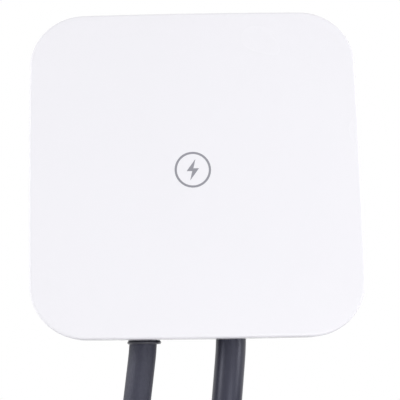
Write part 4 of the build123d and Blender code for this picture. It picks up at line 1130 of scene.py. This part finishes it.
class WALLBOX_OT_selector(bpy.types.Operator):
    """Makes the current selector's base and its knob"""

    bl_idname = "wallbox.selector"
    bl_label = "Selector"

    def execute(self, context):
        carry("selector_base", "selector_knob")
        return {"FINISHED"}


class WALLBOX_OT_screws(bpy.types.Operator):
    """Makes every screw, with its recess and thread, where the frame has one"""

    bl_idname = "wallbox.screws"
    bl_label = "Screws"

    def execute(self, context):
        settings = context.scene.wallbox_screws
        tree = screw_tree()
        # For each way that heads look: the turn about X, the screw's long axis, and whether its low end has the head
        front, back, below = (pi / 2, 1, True), (-pi / 2, 1, False), (pi, 2, True)
        for node, (turn, axis, head_low) in {
            "inner_cover_screws": front, "clamp_screws": front, "board_screws": front, "terminal_screws": front,
            "spacer_screws": front, "connector_screws": back, "securing_screw": below,
        }.items():
            large = node == "securing_screw"
            head = settings.large_head if large else settings.small_head
            work = welded(node)
            boxes = [corners_of(faces) for faces in solids(work)]
            work.free()
            places = []
            for start, end in boxes:
                middle = (start + end) / 2
                middle[axis] = start[axis] + head if head_low else end[axis] - head
                places.append(tuple(middle))
            low, high = boxes[0]
            mesh = grown_mesh(node + "_made", tree, places, {
                "Head radius": (high.x - low.x) / 2, "Head height": head,
                "Shank radius": settings.large_shank if large else settings.small_shank,
                "Length": high[axis] - low[axis] - head, "Pitch": settings.pitch, "Turn": turn,
                "Finish": finish("zinc_steel"),
            })
            face_outwards(mesh)
            place(node + "_made", mesh, "root", "zinc_steel", (node,), angle=40.0)
        return {"FINISHED"}


class WALLBOX_OT_cores(bpy.types.Operator):
    """Makes the insulated cores inside the box and at the supply cable's free end, each in its colour"""

    bl_idname = "wallbox.cores"
    bl_label = "Cores"

    def execute(self, context):
        for node, colours in {
            "supply_cores": ("brown", "green_yellow", "blue"),
            "charge_cores": ("brown", "blue", "green_yellow", "black"),
            "supply_end_cores": ("brown", "green_yellow", "blue"),
        }.items():
            work = welded(node)
            metal_faces = []
            for index, (faces, colour) in enumerate(zip(solids(work), colours)):
                if node == "supply_end_cores":
                    edge = corners_of(faces)[0].z + context.scene.wallbox_cords.ferrule
                    metal_faces += [face for face in faces if face.calc_center_median().z < edge]
                    faces = [face for face in faces if face.calc_center_median().z >= edge]
                name = f"{node}_{colour}"
                place(name, faces_mesh(name, faces), "root", "core_insulation", (node,) if index == 0 else (),
                      finish("core_" + colour), 40.0)
            if metal_faces:
                place("end_ferrules", faces_mesh("end_ferrules", metal_faces), "root", "zinc_steel", angle=40.0)
            work.free()
        return {"FINISHED"}


class WALLBOX_OT_straps(bpy.types.Operator):
    """Makes the woven straps that tie the two coils"""

    bl_idname = "wallbox.straps"
    bl_label = "Straps"

    def execute(self, context):
        carry("supply_straps", "charge_straps")
        return {"FINISHED"}


class WALLBOX_OT_connector(bpy.types.Operator):
    """Makes the vehicle connector: boot, handle shells, nose and contacts"""

    bl_idname = "wallbox.connector"
    bl_label = "Connector"

    def execute(self, context):
        carry("connector_boot", "connector_front", "connector_back", "connector_nose", "connector_contacts")
        return {"FINISHED"}


class WALLBOX_PT_sidebar(bpy.types.Panel):
    """Lists the steps and the main sizes"""

    bl_label = "Charging box"
    bl_idname = "WALLBOX_PT_sidebar"
    bl_space_type = "VIEW_3D"
    bl_region_type = "UI"
    bl_category = "Charging box"

    def draw(self, context):
        for name, kind in setting_groups.items():
            box = self.layout.box()
            box.label(text=kind.__doc__)
            for key in kind.__annotations__:
                box.prop(getattr(context.scene, name), key)
        for step in steps:
            self.layout.operator(step.bl_idname)


steps = (
    WALLBOX_OT_stage,
    WALLBOX_OT_cords,
    WALLBOX_OT_front_cover,
    WALLBOX_OT_mark,
    WALLBOX_OT_housing,
    WALLBOX_OT_inner_cover,
    WALLBOX_OT_entries,
    WALLBOX_OT_electronics,
    WALLBOX_OT_selector,
    WALLBOX_OT_screws,
    WALLBOX_OT_cores,
    WALLBOX_OT_straps,
    WALLBOX_OT_connector,
)
setting_groups = {
    "wallbox_stage": WallboxStageSettings,
    "wallbox_cover": WallboxCoverSettings,
    "wallbox_cords": WallboxCordSettings,
    "wallbox_entries": WallboxEntrySettings,
    "wallbox_screws": WallboxScrewSettings,
}
classes = (*setting_groups.values(), *steps, WALLBOX_PT_sidebar)


def register():
    for made in classes:
        bpy.utils.register_class(made)
    for name, kind in setting_groups.items():
        setattr(bpy.types.Scene, name, bpy.props.PointerProperty(type=kind))


def unregister():
    for name in setting_groups:
        delattr(bpy.types.Scene, name)
    for made in reversed(classes):
        bpy.utils.unregister_class(made)


def main():
    register()
    for step in steps:
        group, call = step.bl_idname.split(".")
        getattr(getattr(bpy.ops, group), call)()
    bpy.context.view_layer.update()


if __name__ == "__main__":
    main()
